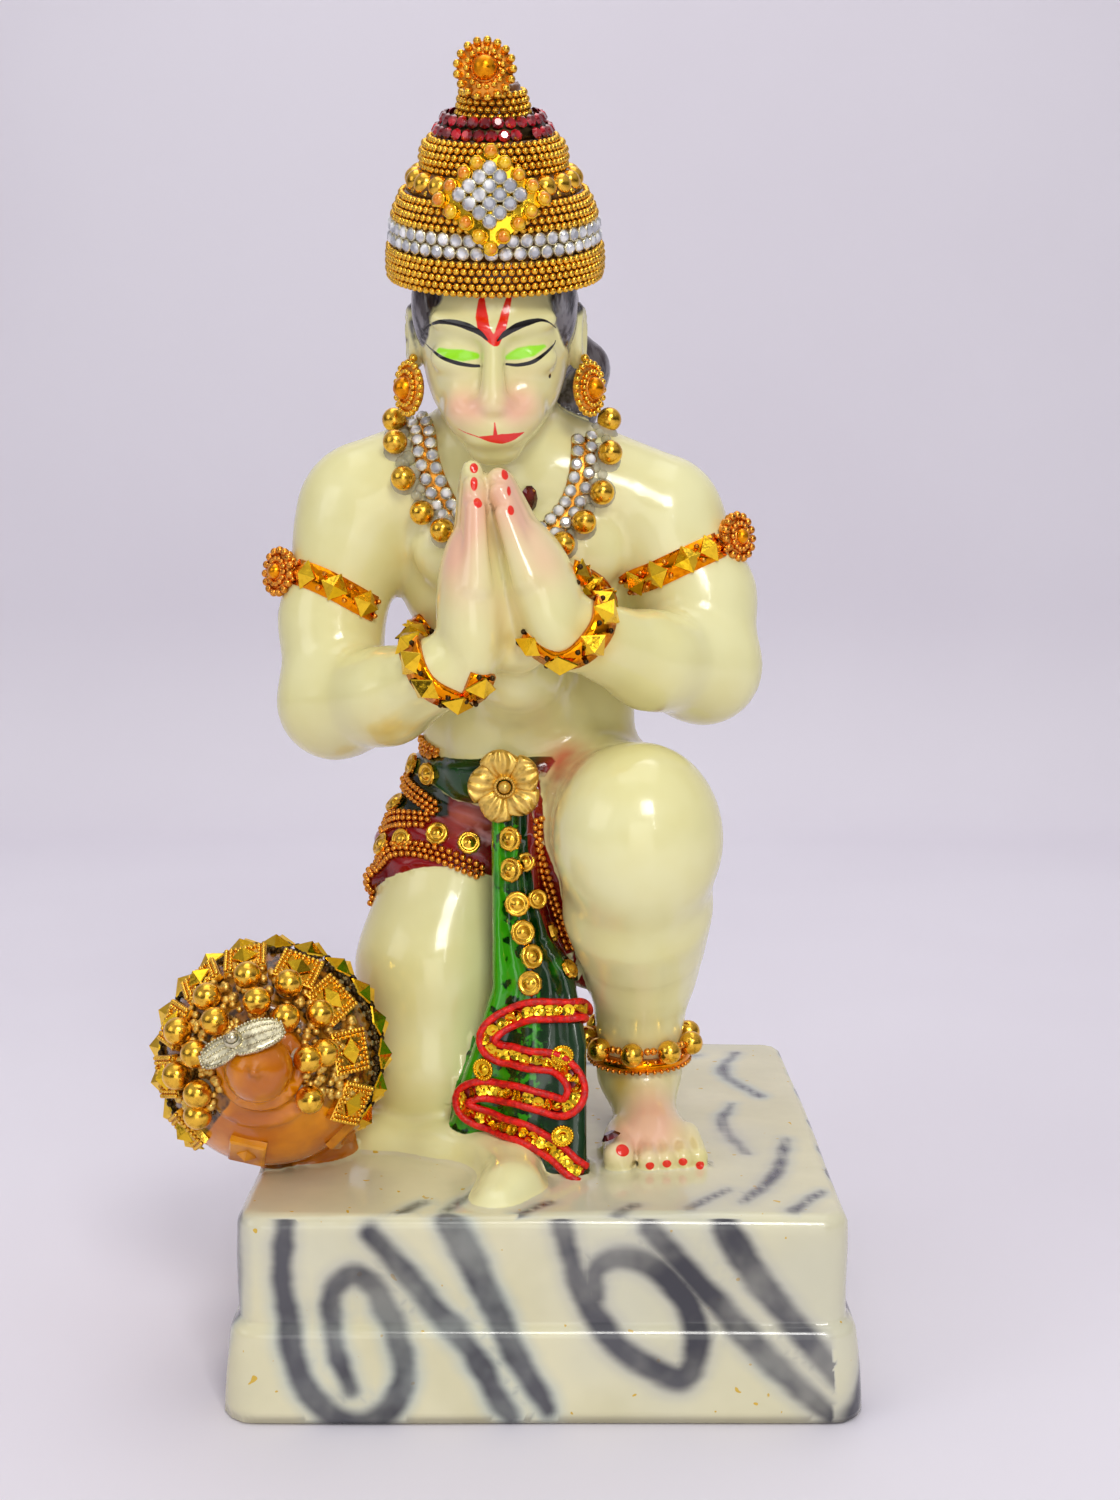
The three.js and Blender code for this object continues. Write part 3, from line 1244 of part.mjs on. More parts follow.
place("mace_pyramids_front", (lift) => {
  const line = steps(-136, 124, 33).map((turn) => onMace(81, turn));
  return strip(line, pointed(PYRAMID_SIZE, 0.5, PYRAMID_HEIGHT + 0.5), lift);
}, GOLD);
place("mace_pyramids_back", (lift) => {
  const line = steps(-130, 122, 29).map((turn) => onMace(97, turn));
  return strip(line, pointed(PYRAMID_SIZE, 0.5, PYRAMID_HEIGHT + 0.5), lift);
}, GOLD);
place("mace_leaf", (lift) => {
  const out = unit([-0.2, -0.55, 0.8]);
  const at = add(toPlace(KNOB), times(out, KNOB_RADIUS * BODY_STEP + lift));
  const outline = [1, 0.86, 0.62, 0.62, 0.86];
  return turned(at, out, [[0, 0], [5.4, 0], [5, 0.6], [0, 0.9]], 10, (i) => outline[i % 5]);
}, SILVER_GOLD);

// single stones on a finger and a toe
function stone(name, spot, radius) {
  place(name, (lift) => {
    const at = settle(spot);
    const out = slope(at);
    const profile = [[0, 0], [radius, 0.3], [radius * 0.6, 1], [0, 1.1]];
    return turned(add(toPlace(at), times(out, lift)), out, profile, 6);
  }, RED_STONE);
}
stone("ring_stone", [-2, -27.5, 115.6], 1.3);
stone("toe_stone", [12, -26.9, 5.6], 1.2);

export default group;
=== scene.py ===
"""The kneeling figure dressed for its picture: a fine painted casting with every trim laid on it."""
import json
import math

import bpy
import numpy as np
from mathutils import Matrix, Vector

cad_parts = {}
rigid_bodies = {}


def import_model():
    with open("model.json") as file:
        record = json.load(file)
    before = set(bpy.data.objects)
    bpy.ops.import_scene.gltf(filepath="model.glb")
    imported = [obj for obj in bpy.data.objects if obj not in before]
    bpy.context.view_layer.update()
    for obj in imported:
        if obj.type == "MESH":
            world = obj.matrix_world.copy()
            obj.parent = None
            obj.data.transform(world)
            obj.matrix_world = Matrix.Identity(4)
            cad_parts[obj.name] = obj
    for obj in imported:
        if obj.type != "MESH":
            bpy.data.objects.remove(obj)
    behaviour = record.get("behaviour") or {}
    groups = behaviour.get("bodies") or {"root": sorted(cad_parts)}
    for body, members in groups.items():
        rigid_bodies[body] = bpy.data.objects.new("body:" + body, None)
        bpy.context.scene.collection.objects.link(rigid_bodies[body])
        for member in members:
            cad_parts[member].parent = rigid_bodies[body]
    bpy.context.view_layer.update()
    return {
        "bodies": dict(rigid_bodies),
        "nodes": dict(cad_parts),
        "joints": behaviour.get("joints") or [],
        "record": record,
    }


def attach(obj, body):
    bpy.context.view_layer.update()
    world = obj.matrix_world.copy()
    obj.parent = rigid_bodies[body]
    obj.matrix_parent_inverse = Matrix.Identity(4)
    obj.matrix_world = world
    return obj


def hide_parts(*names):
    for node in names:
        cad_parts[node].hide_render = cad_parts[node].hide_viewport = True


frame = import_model()

# Lengths are millimetres and heights stand above the plinth's top. make() turns them into metres.
MM_IN_METRE = 1000
PLINTH_TOP = 34.0
CELL = 1.3


# The camera, the floor and the lights
EYE = np.array([2.75, -336.3, 146.7 - PLINTH_TOP])
PITCH = math.radians(7.25)
LENS = 44.16
FOCAL = 1840.0
FRAME_CENTRE = (560, 750)
LOOK = np.array([0, math.cos(PITCH), -math.sin(PITCH)])
LIFT = np.array([0, math.sin(PITCH), math.cos(PITCH)])

camera = bpy.data.objects.new("camera", bpy.data.cameras.new("camera"))
bpy.context.scene.collection.objects.link(camera)
camera.data.lens = LENS
camera.data.clip_start = 0.01
camera.data.clip_end = 20
camera.location = (EYE + [0, 0, PLINTH_TOP]) / MM_IN_METRE
camera.rotation_euler = (math.pi / 2 - PITCH, 0, 0)
bpy.context.scene.camera = camera
bpy.context.scene.view_settings.view_transform = "Standard"


def linear(r, g, b):
    """A display colour, 0 to 255, as the linear colour a shader takes."""
    out = []
    for v in (r, g, b):
        v /= 255
        out.append(v / 12.92 if v <= 0.04045 else ((v + 0.055) / 1.055) ** 2.4)
    return (*out, 1.0)


class Shade:
    """A material's nodes, written as short calls that return sockets."""

    def __init__(self, name, color=(0.8, 0.8, 0.8, 1), roughness=0.5, metallic=0.0):
        self.material = bpy.data.materials.new(name)
        self.material.use_nodes = True
        self.tree = self.material.node_tree
        self.bsdf = self.tree.nodes["Principled BSDF"]
        self.set("Base Color", color)
        self.set("Roughness", roughness)
        self.set("Metallic", metallic)

    def put(self, socket, value):
        if isinstance(value, bpy.types.NodeSocket):
            self.tree.links.new(value, socket)
        else:
            socket.default_value = value

    def set(self, name, value):
        self.put(self.bsdf.inputs[name], value)

    def attribute(self, name):
        node = self.tree.nodes.new("ShaderNodeAttribute")
        node.attribute_name = name
        return node.outputs["Fac"]

    def math(self, kind, a, b=0.0, clamp=False):
        node = self.tree.nodes.new("ShaderNodeMath")
        node.operation = kind
        node.use_clamp = clamp
        self.put(node.inputs[0], a)
        self.put(node.inputs[1], b)
        return node.outputs[0]

    def rise(self, value, low, high, to_low=0.0, to_high=1.0):
        node = self.tree.nodes.new("ShaderNodeMapRange")
        node.interpolation_type = "SMOOTHSTEP"
        ends = (("From Min", low), ("From Max", high), ("To Min", to_low), ("To Max", to_high))
        for name, v in (("Value", value), *ends):
            self.put(node.inputs[name], v)
        return node.outputs[0]

    def mix(self, share, a, b):
        node = self.tree.nodes.new("ShaderNodeMix")
        node.data_type = "RGBA"
        self.put(node.inputs[0], share)
        self.put(node.inputs[6], a)
        self.put(node.inputs[7], b)
        return node.outputs[2]

    def place(self, scale=(1, 1, 1), turn=(0, 0, 0)):
        where = self.tree.nodes.new("ShaderNodeTexCoord")
        node = self.tree.nodes.new("ShaderNodeMapping")
        node.inputs["Scale"].default_value = scale
        node.inputs["Rotation"].default_value = turn
        self.tree.links.new(where.outputs["Object"], node.inputs["Vector"])
        return node.outputs[0]

    def noise(self, scale, detail=2.0, vector=None):
        node = self.tree.nodes.new("ShaderNodeTexNoise")
        node.inputs["Scale"].default_value = scale
        node.inputs["Detail"].default_value = detail
        self.tree.links.new(vector or self.place(), node.inputs["Vector"])
        return node.outputs["Fac"]

    def cells(self, scale):
        node = self.tree.nodes.new("ShaderNodeTexVoronoi")
        node.inputs["Scale"].default_value = scale
        self.tree.links.new(self.place(), node.inputs["Vector"])
        return node.outputs["Distance"]

    def bump(self, height, distance, strength=1.0):
        node = self.tree.nodes.new("ShaderNodeBump")
        node.inputs["Distance"].default_value = distance
        node.inputs["Strength"].default_value = strength
        self.tree.links.new(height, node.inputs["Height"])
        self.tree.links.new(node.outputs[0], self.bsdf.inputs["Normal"])


def build(name, vertices, faces, material=None):
    """A smooth mesh object from points in metres and an array of faces of one kind."""
    mesh = bpy.data.meshes.new(name)
    faces = np.asarray(faces, np.int32)
    mesh.vertices.add(len(vertices))
    mesh.vertices.foreach_set("co", np.asarray(vertices, np.float32).ravel())
    mesh.loops.add(faces.size)
    mesh.loops.foreach_set("vertex_index", faces.ravel())
    mesh.polygons.add(len(faces))
    mesh.polygons.foreach_set("loop_start", np.arange(0, faces.size, faces.shape[1], dtype=np.int32))
    mesh.update(calc_edges=True)
    mesh.validate()
    mesh.polygons.foreach_set("use_smooth", np.ones(len(mesh.polygons), bool))
    obj = bpy.data.objects.new(name, mesh)
    bpy.context.scene.collection.objects.link(obj)
    if material is not None:
        mesh.materials.append(material.material)
    return obj


def make(name, vertices, faces, material, node):
    """A piece of the object, from points in millimetres above the plinth's top."""
    metres = (np.asarray(vertices, float) + [0, 0, PLINTH_TOP]) / MM_IN_METRE
    obj = build(name, metres, faces, material)
    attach(obj, "root")
    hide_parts(node)
    return obj


def set_stage():
    """A pale floor that bends up into a wall behind, as a studio sweep."""
    front, edge, wall, bend, side, steps = -2.5, 0.50, 1.6, 0.10, 3, 12
    below_part = 0.0004
    profile = [(front, 0.0), (edge, 0.0)]
    for i in range(1, steps + 1):
        a = math.pi / 2 * i / steps
        profile.append((edge + bend * math.sin(a), bend * (1 - math.cos(a))))
    profile.append((edge + bend, wall))
    points = [(x, y, z - below_part) for x in (-side, side) for y, z in profile]
    n = len(profile)
    faces = [(i, i + 1, n + i + 1, n + i) for i in range(n - 1)]
    paper = Shade("paper", roughness=0.75)
    drift = paper.rise(paper.noise(3.0, 3.0), 0.3, 0.7)
    paper.set("Base Color", paper.mix(drift, linear(227, 222, 232), linear(233, 229, 238)))
    build("floor", np.array(points), np.array(faces), paper)


def set_world():
    """A room that is dark at the horizon and bright overhead, and plain paper where the camera sees it."""
    world = bpy.data.worlds.new("studio")
    bpy.context.scene.world = world
    world.use_nodes = True
    tree = world.node_tree
    background = tree.nodes["Background"]
    where = tree.nodes.new("ShaderNodeTexCoord")
    split = tree.nodes.new("ShaderNodeSeparateXYZ")
    tree.links.new(where.outputs["Generated"], split.inputs[0])
    ramp = tree.nodes.new("ShaderNodeValToRGB")
    half = tree.nodes.new("ShaderNodeMath")
    half.operation = "MULTIPLY_ADD"
    half.inputs[1].default_value = 0.5
    half.inputs[2].default_value = 0.5
    tree.links.new(split.outputs["Z"], half.inputs[0])
    tree.links.new(half.outputs[0], ramp.inputs[0])
    stops = [(0.0, 0.30), (0.44, 0.20), (0.52, 0.16), (0.62, 0.35), (0.75, 1.0), (1.0, 1.25)]
    band = ramp.color_ramp
    while len(band.elements) < len(stops):
        band.elements.new(0.5)
    for element, (at, v) in zip(band.elements, stops):
        element.position = at
        element.color = (v, v * 0.985, v * 1.01, 1)
    path = tree.nodes.new("ShaderNodeLightPath")
    mix = tree.nodes.new("ShaderNodeMix")
    mix.data_type = "RGBA"
    tree.links.new(path.outputs["Is Camera Ray"], mix.inputs[0])
    tree.links.new(ramp.outputs[0], mix.inputs[6])
    mix.inputs[7].default_value = linear(216, 212, 224)
    tree.links.new(mix.outputs[2], background.inputs["Color"])
    background.inputs["Strength"].default_value = 0.43


def set_light(name, at, toward, size, power, color=(1, 1, 1), long=None):
    data = bpy.data.lights.new(name, "AREA")
    data.energy = power
    data.color = color
    data.size = size
    if long:
        data.shape = "RECTANGLE"
        data.size_y = long
    light = bpy.data.objects.new(name, data)
    bpy.context.scene.collection.objects.link(light)
    light.location = at
    light.rotation_euler = (Vector(toward) - Vector(at)).to_track_quat("-Z", "Y").to_euler()


set_stage()
set_world()
LIGHTS = {  # where it stands, what it points at, its size, its power, its colour, its length if it is a strip
    "key": ((0.22, -0.85, 0.75), (0, 0, 0.14), 0.3, 3.7, (1.0, 0.985, 0.95)),
    "fill": ((-0.8, -0.5, 0.5), (0, 0, 0.12), 0.5, 1.1, (0.98, 0.98, 1.0)),
    "top": ((0.0, 0.05, 1.1), (0, 0, 0.1), 0.8, 2.2),
    "front": ((0.05, -1.0, 0.22), (0, 0, 0.12), 0.5, 1.3, (1.0, 0.99, 0.97)),
    "strip": ((0.30, -0.80, 0.55), (0, 0, 0.12), 0.015, 0.35, (1, 1, 1), 0.5),
    "back": ((0.0, 0.42, 0.9), (0, 0.6, 0.2), 0.5, 1.0),
}
for light_name, light_plan in LIGHTS.items():
    set_light(light_name, *light_plan)


# The body as a signed distance
def blend(a, b, k):
    """Two distances joined with a fillet k wide."""
    h = np.maximum(k - np.abs(a - b), 0) / k
    return np.minimum(a, b) - h * h * k / 4


def carve(a, b, k):
    return -blend(-a, b, k)


def overlap(a, b, k):
    return -blend(-a, -b, k)


def join(k, *fields):
    out = fields[0]
    for field in fields[1:]:
        out = blend(out, field, k)
    return out


def cone(p, a, ra, b, rb):
    a, b = np.asarray(a, float), np.asarray(b, float)
    way = b - a
    t = np.clip((p - a) @ way / (way @ way), 0, 1)
    return np.linalg.norm(p - a - t[:, None] * way, axis=1) - (ra + t * (rb - ra))


def ball(p, c, r):
    return np.linalg.norm(p - np.asarray(c, float), axis=1) - r


def egg(p, c, r):
    q, r = p - np.asarray(c, float), np.asarray(r, float)
    k = np.linalg.norm(q / r, axis=1)
    g = np.linalg.norm(q / (r * r), axis=1)
    return np.where(g > 1e-9, k * (k - 1) / np.maximum(g, 1e-9), -r.min())


def limb(p, stops, k=3.0):
    return join(k, *[cone(p, a, ra, b, rb) for (a, ra), (b, rb) in zip(stops, stops[1:])])


HEAD = np.array([-8.5, -6.0, 142.0])
BOW = math.radians(19)
FORWARD = np.array([0, -math.cos(BOW), -math.sin(BOW)])
UPWARD = np.array([0, -math.sin(BOW), math.cos(BOW)])


def in_head(p):
    q = p - HEAD
    return np.stack([q[:, 0], q @ FORWARD, q @ UPWARD], 1)


def from_head(h):
    return HEAD + np.array([h[0], 0, 0]) + h[1] * FORWARD + h[2] * UPWARD


def mirrored(h):
    return np.stack([np.abs(h[:, 0]), h[:, 1], h[:, 2]], 1)


def head_skin(p):
    m = mirrored(in_head(p))
    d = egg(m, (0, -1, 4), (13.7, 16.5, 16.5))
    d = blend(d, egg(m, (0, 6, -5), (10.6, 10.5, 9.5)), 5)
    d = blend(d, egg(m, (0, 12.6, -8.8), (7.4, 8.2, 5.6)), 4)
    d = blend(d, egg(m, (4.2, 14.6, -6.8), (3.9, 4.8, 3.7)), 2.5)
    d = carve(d, egg(m, (4.4, 18.5, 0.4), (2.8, 2.6, 4.4)), 3)
    d = carve(d, egg(m, (6.4, 17.9, 4.7), (4.4, 2.6, 1.4)), 2.5)
    d = blend(d, cone(m, (0, 15.3, 6.4), 1.2, (0, 18.5, -3.8), 2.2), 1.8)
    d = blend(d, egg(m, (0, 18.6, -5.0), (2.5, 2.3, 1.7)), 1.4)
    d = blend(d, egg(m, (2.5, 17.3, -5.5), (1.5, 2.0, 1.4)), 1.2)
    d = blend(d, egg(m, (6.0, 12.0, 1.3), (4.7, 3.1, 2.8)), 1.6)
    d = blend(d, cone(m, (2.4, 15.0, 6.9), 0.9, (9.5, 11.6, 7.8), 0.9), 3)
    d = blend(d, egg(m, (0, 14.6, -14.0), (4.4, 4.0, 2.6)), 2.5)
    d = blend(d, egg(m, (0, 18.1, -10.9), (4.4, 2.2, 1.2)), 1.5)
    ear = carve(egg(m, (14.4, -0.5, 2.0), (2.1, 4.0, 6.0)), egg(m, (16.4, 0.8, 2.4), (1.5, 2.4, 4.0)), 1.2)
    return blend(d, ear, 1.2)


def hair(p):
    h = in_head(p)
    d = egg(h, (0, -6.5, 4.5), (14.8, 13.5, 15.5))
    d = blend(d, egg(mirrored(h), (11.6, 4.4, 8.5), (2.7, 5.2, 7.5)), 1.5)
    d = blend(d, egg(h, (0, -12, -8), (12, 7.5, 11)), 4)
    d = blend(d, limb(p, [((1, 6, 142), 8), ((6.4, 8, 139.4), 4.9), ((5.4, 9, 132), 4.4)], 3), 3)
    return blend(d, cone(p, (-7, 9, 130), 9.5, (-6, 14, 112), 6.5), 4)


CROWN_BASE = from_head([0, -2.5, 13])
CROWN_CORE = [(0, 17.5), (5, 17.3), (5.1, 16.9), (9.2, 16.6), (9.3, 16.2), (13.8, 14.6), (14.0, 13.2),
              (17.4, 12.0), (17.5, 11.1), (22.4, 10.2), (22.5, 8.4), (25.6, 6.3), (25.7, 5.0), (31, 4.6)]
CROWN_TALL = 31.0


def crown_radius(height):
    return np.interp(height, *zip(*CROWN_CORE))


def crown(p):
    q = p - CROWN_BASE
    height = q @ UPWARD
    radius = np.hypot(q[:, 0], q @ FORWARD)
    return np.maximum(np.maximum(radius - crown_radius(height), -height), height - CROWN_TALL) * 0.9


def hips(p):
    return egg(p, (-2.8, 8, 60.5), (21.6, 15.5, 15))


def torso(p):
    d = blend(hips(p), egg(p, (-3.2, 4.5, 76), (19.8, 13.5, 17)), 7)
    d = blend(d, egg(p, (-4.6, 5, 103), (22.6, 14, 19)), 6)
    d = blend(d, cone(p, (-14, 4, 120), 13, (-32, 3, 115), 11.4), 5)
    d = blend(d, cone(p, (-3, 4, 120), 13.2, (20.5, 3, 113), 11.0), 5)
    d = blend(d, cone(p, (-7.5, 2, 121), 10.6, (-8.5, -2, 134), 9.6), 4)
    for x in (-13.5, 4.5):
        d = blend(d, egg(p, (x, -6.2, 106), (9.5, 4.6, 6.8)), 3.5)
    return blend(d, egg(p, (-4, -6.5, 72), (12, 5, 13)), 5)


# each arm from the shoulder to the wrist, as centres and radii
ARM_RIGHT = [((-33.8, 3, 113), 10.9), ((-39.0, 0, 94), 8.7), ((-37.8, -4.5, 79.4), 9.9),
             ((-27.5, -15, 81.3), 8.1), ((-16.4, -26, 87.0), 6.2)]
ARM_LEFT = [((21.4, 3, 111.0), 10.9), ((27.8, 0.5, 98), 9.9), ((28.6, -4, 85.8), 10.0),
            ((18.6, -15, 87.6), 8.2), ((7.4, -26, 92.5), 6.2)]


def upper_arm(p, stops):
    shoulder = egg(p, np.add(stops[0][0], (0, 0, -3)), (10.8, 10.8, 12))
    return blend(limb(p, stops[:3], 4), shoulder, 4)


def arm(p, stops):
    return blend(upper_arm(p, stops), limb(p, stops[2:], 3), 3)


def hand_frame(heel, knuckles, tip, back):
    """A hand's own axes from its heel, knuckles and finger tips, and the way its back faces."""
    heel, knuckles, tip, back = (np.asarray(v, float) for v in (heel, knuckles, tip, back))
    reach = np.linalg.norm(tip - heel)
    up = (tip - heel) / reach
    out = back - back @ up * up
    out /= np.linalg.norm(out)
    near = np.cross(up, out)
    near *= -np.sign(near[1])
    return {"heel": heel, "reach": reach, "up": up, "out": out, "near": near, "bow": (knuckles - heel) @ out}


HANDS = [hand_frame((-11.6, -27.5, 86), (-12.6, -28, 100), (-12.2, -28, 122), (-1, -0.30, 0)),
         hand_frame((3.6, -27.5, 90), (-0.6, -28, 103), (-7.9, -28, 120.5), (1, -0.45, 0.3))]


def hand(p, f):
    q = p - f["heel"]
    local = np.stack([q @ f["out"], q @ f["near"], q @ f["up"]], 1)
    reach, bow = f["reach"], f["bow"]
    d = egg(local, (bow, 0.0, 0.24 * reach), (5.3, 7.0, 0.34 * reach))
    d = blend(d, egg(local, (bow, -1.5, 0.45 * reach), (3.9, 6.6, 0.25 * reach)), 3)
    for i, length in enumerate((0.82, 0.93, 1.0, 0.98)):
        side = 4.6 - 3.0 * i
        end = (-0.25 * i, side * 0.62, (length - 0.05) * reach)
        d = blend(d, cone(local, (bow * 0.8, side, 0.42 * reach), 2.6, end, 1.7), 0.9)
    return d


def kneeling_leg(p):
    d = limb(p, [((-15.6, 7, 51), 14), ((-20.8, -2, 30), 13.2), ((-21.2, -6, 14), 12.2)], 5)
    d = blend(d, egg(p, (-21, -8.5, 12), (10.8, 9, 9.5)), 3)
    d = blend(d, limb(p, [((-21, -3, 11), 10.5), ((-20, 16, 10), 10), ((-18, 35, 9), 6)], 5), 4)
    d = blend(d, cone(p, (-18, 36, 13), 5.6, (-18, 42, 6), 4.4), 3)
    for i in range(5):
        x = -24 + 3.0 * i
        d = blend(d, cone(p, (x, 42, 5), 2.2, (x, 39.5, 1.6), 1.9), 0.8)
    return d


SHIN = [((16.2, -24, 55), 12.9), ((16.4, -19, 44), 12.2), ((17.2, -14.5, 36.5), 10.2),
        ((17.4, -11.5, 30), 8.6), ((17.3, -8, 21), 7.1), ((17.3, -6.5, 12), 6.7)]
# the planted foot's toes: the tip's place and radius
TOES = [(12.9, -28.6, 2.6, 2.7), (18.1, -28.9, 2.0, 1.9), (21.2, -28.4, 1.9, 1.8),
        (24.2, -27.5, 1.9, 1.8), (26.9, -26.6, 1.8, 1.7)]
FOOT_MIDDLE = 18.9
TOE_ROOT_SPREAD = 0.85


def planted_leg(p):
    d = cone(p, (7, 9, 58), 15.5, (15.6, -23, 60.0), 12.7)
    d = blend(d, egg(p, (16.2, -26, 60.3), (13.3, 13.0, 13.8)), 4)
    d = blend(d, limb(p, SHIN, 4), 5)
    d = blend(d, egg(p, (16.0, -29.5, 57), (11, 9.2, 12)), 6)
    foot = cone(p, (17.3, -5, 12), 6.6, (17.6, 1.0, 6.0), 5.8)
    foot = blend(foot, cone(p, (17.6, -6, 9.5), 6.8, (18.4, -18, 3.2), 5.0), 4)
    foot = blend(foot, egg(p, (18.9, -19.5, 1.6), (8.6, 7.5, 5.4)), 3)
    for x, y, z, r in TOES:
        root = FOOT_MIDDLE + (x - FOOT_MIDDLE) * TOE_ROOT_SPREAD
        foot = blend(foot, cone(p, (root, -19.0, 3.4), r + 0.2, (x, y, z), r), 0.8)
    return blend(d, foot, 3)


TAIL = [((-4, 22, 58), 6), ((-8, 36, 40), 5.4), ((-22, 44, 14), 5), ((-32, 41, 3), 4.8),
        ((-34.5, 20, 1), 4.6), ((-36, -3, 0.2), 4.4), ((-31, -14.2, 0), 4.2), ((-18, -18.4, -0.2), 4.2),
        ((-9.2, -23, -0.4), 4.3), ((-5.6, -29.5, -0.6), 4.6), ((-5.4, -37, -1.2), 5.0),
        ((-7.6, -42.5, -2), 5.0)]
BELT_MIDDLE = 66
BELT_HALF = 3.9
SASH_TOP = 66.5
CLOTH_TOP = 68.5
HEM = 52
# the sash's two edges: heights, and how far across each edge stands there
SASH_LEFT = ((0, 11, 23, 30, 70), (-17, -14.8, -10.6, -8.4, -8.8))
SASH_RIGHT = ((0, 21, 32, 38, 45, 61, 70), (6.6, 6.6, 4.4, 0.8, -1.2, -2.4, -3))


def belt(p, trunk):
    return overlap(trunk - 1.6, np.abs(p[:, 2] - BELT_MIDDLE - 0.06 * (p[:, 0] + 4)) - BELT_HALF, 2)


def sash_edges(z):
    return np.interp(z, *SASH_LEFT), np.interp(z, *SASH_RIGHT)


def sash(p):
    x, y, z = p.T
    left, right = sash_edges(z)
    middle, half = (left + right) / 2, (right - left) / 2
    fold = 0.7 * np.cos((x - middle) / half * 7.0)
    foot = np.interp(x, [-16, 1], [-19.5, -31.5])
    high = np.interp(z, [30, 45, 70], [-20.5, -17.5, -14.5])
    front = np.where(z < 30, foot + (-20.5 - foot) * np.clip(z / 30, 0, 1), high)
    d = overlap(np.abs(x - middle) - half, np.abs(y - (front + 3.2) + fold) - 3.0, 1.5)
    return overlap(d, np.maximum(z - SASH_TOP, -2 - z), 2) * 0.8 - 0.6


def loincloth(p):
    d = join(6, hips(p), cone(p, (-16.5, 7, 48), 14.5, (-21.5, -3, 24), 13),
             cone(p, (7, 9, 58), 15.5, (16, -23, 60.5), 12.4), egg(p, (-3.0, 4.5, 70), (18.4, 13.2, 10)))
    x, y, z = p.T
    hem = HEM - 0.12 * np.abs(x + 22) - 0.55 * np.clip(y + 12, 0, 20)
    kneeling = 1 / (1 + np.exp((x + 3) * 0.6))
    cut = kneeling * (hem - z) + (1 - kneeling) * (-9.0 - y)
    folds = 0.45 * np.sin(z * 0.9 + x * 0.35)
    d = overlap(d - 1.5 + folds, np.maximum(cut, z - CLOTH_TOP), 1.2)
    drape = cone(p, (3, -9, 58), 8.5, (7.2, -10.5, 32), 4.2) - 0.35 * np.sin(z * 0.55 + x * 0.5)
    return blend(d, drape, 2.5)


def unit_of(v):
    v = np.asarray(v, float)
    return v / np.linalg.norm(v)


# the mace's head and knob, the way the knob and the shaft point, and the upright and level across them
MACE = np.array([-47.4, -25, 19.5])
KNOB = np.array([-46.3, -46.0, 23.6])
MACE_OUT = unit_of(KNOB - MACE)
MACE_BACK = unit_of([0.03, 0.975, -0.19])
MACE_UP = unit_of(np.array([0, 0, 1]) - MACE_OUT * MACE_OUT[2])
MACE_SIDE = np.cross(MACE_UP, MACE_OUT)
SHAFT_LONG = 68


def mace(p):
    d = egg(p, MACE, (18.6, 18.2, 18.8))
    for back, r, half in ((6.2, 10.4, 1.3), (3.6, 7.4, 1.1)):
        q = p - (KNOB - MACE_OUT * back)
        depth = q @ MACE_OUT
        across = np.linalg.norm(q - depth[:, None] * MACE_OUT, axis=1)
        d = blend(d, overlap(across - r, np.abs(depth) - half, 1.0), 0.8)
    d = blend(d, ball(p, KNOB, 5.6), 0.8)
    d = blend(d, cone(p, KNOB + MACE_OUT * 4.6, 2.0, KNOB + MACE_OUT * 6.4, 1.0), 0.8)
    tip = MACE + MACE_BACK * SHAFT_LONG
    d = blend(d, cone(p, MACE, 4.6, tip, 4.2), 1)
    d = blend(d, cone(p, MACE + MACE_BACK * 17, 8, MACE + MACE_BACK * 21, 6), 1.5)
    d = blend(d, ball(p, tip, 5.6), 1)
    return blend(d, cone(p, (-42, -20, 4), 7, (-41, -18, -2), 8), 2)


def rounded(p, half, corner, low, high, edge):
    """A block with round upright corners and a round top edge."""
    q = np.abs(p[:, :2]) - (half - corner)
    flat = np.linalg.norm(np.maximum(q, 0), axis=1) + np.minimum(q.max(1), 0) - corner + edge
    tall = np.abs(p[:, 2] - (low + high) / 2) - (high - low) / 2 + edge
    return np.minimum(np.maximum(flat, tall), 0) + np.hypot(np.maximum(flat, 0), np.maximum(tall, 0)) - edge


def plinth(p):
    x, y, z = p.T
    drift = 0.22 * np.sin(x / 11 + z / 17) * np.sin(y / 14 + 1.3) + 0.12 * np.sin(z / 3.1 + (x + y) / 21)
    upper = rounded(p, 50.2, 4.5, -30, 0, 2.4)
    lower = rounded(p, 51.6, 5, -50, -18.2, 2.0) - 0.09 * np.clip(-19 - z, 0, 16)
    return np.maximum(blend(upper, lower, 0.5) + drift, -PLINTH_TOP - z)


def regions(p):
    """How far each painted region's own surface is."""
    trunk = torso(p)
    skin = blend(trunk, arm(p, ARM_RIGHT), 2.6)
    skin = blend(skin, arm(p, ARM_LEFT), 2.6)
    skin = blend(skin, blend(hand(p, HANDS[0]), hand(p, HANDS[1]), 0.8), 2)
    palms = cone(p, (-4.2, -23.5, 90), 4, (-9.3, -23.5, 116), 2.2)
    skin = blend(skin, blend(egg(p, (-4.5, -10, 85), (8.5, 12, 8)), palms, 3), 5)
    skin = blend(skin, kneeling_leg(p), 4)
    skin = blend(skin, planted_leg(p), 4)
    skin = blend(skin, head_skin(p), 2.5)
    skin = blend(skin, limb(p, TAIL, 4), 3)
    return {"skin": skin, "hair": hair(p), "belt": belt(p, trunk), "sash": sash(p), "cloth": loincloth(p),
            "mace": mace(p), "crown": crown(p)}


def body(p):
    return join(0.8, *regions(p).values())


def chest(p):
    """The trunk and upper arms alone, for what passes behind the hands."""
    skin = torso(p)
    for stops in (ARM_RIGHT, ARM_LEFT):
        skin = blend(skin, upper_arm(p, stops), 2.6)
    return skin


def cast(p):
    return blend(body(p), plinth(p), 1.6)


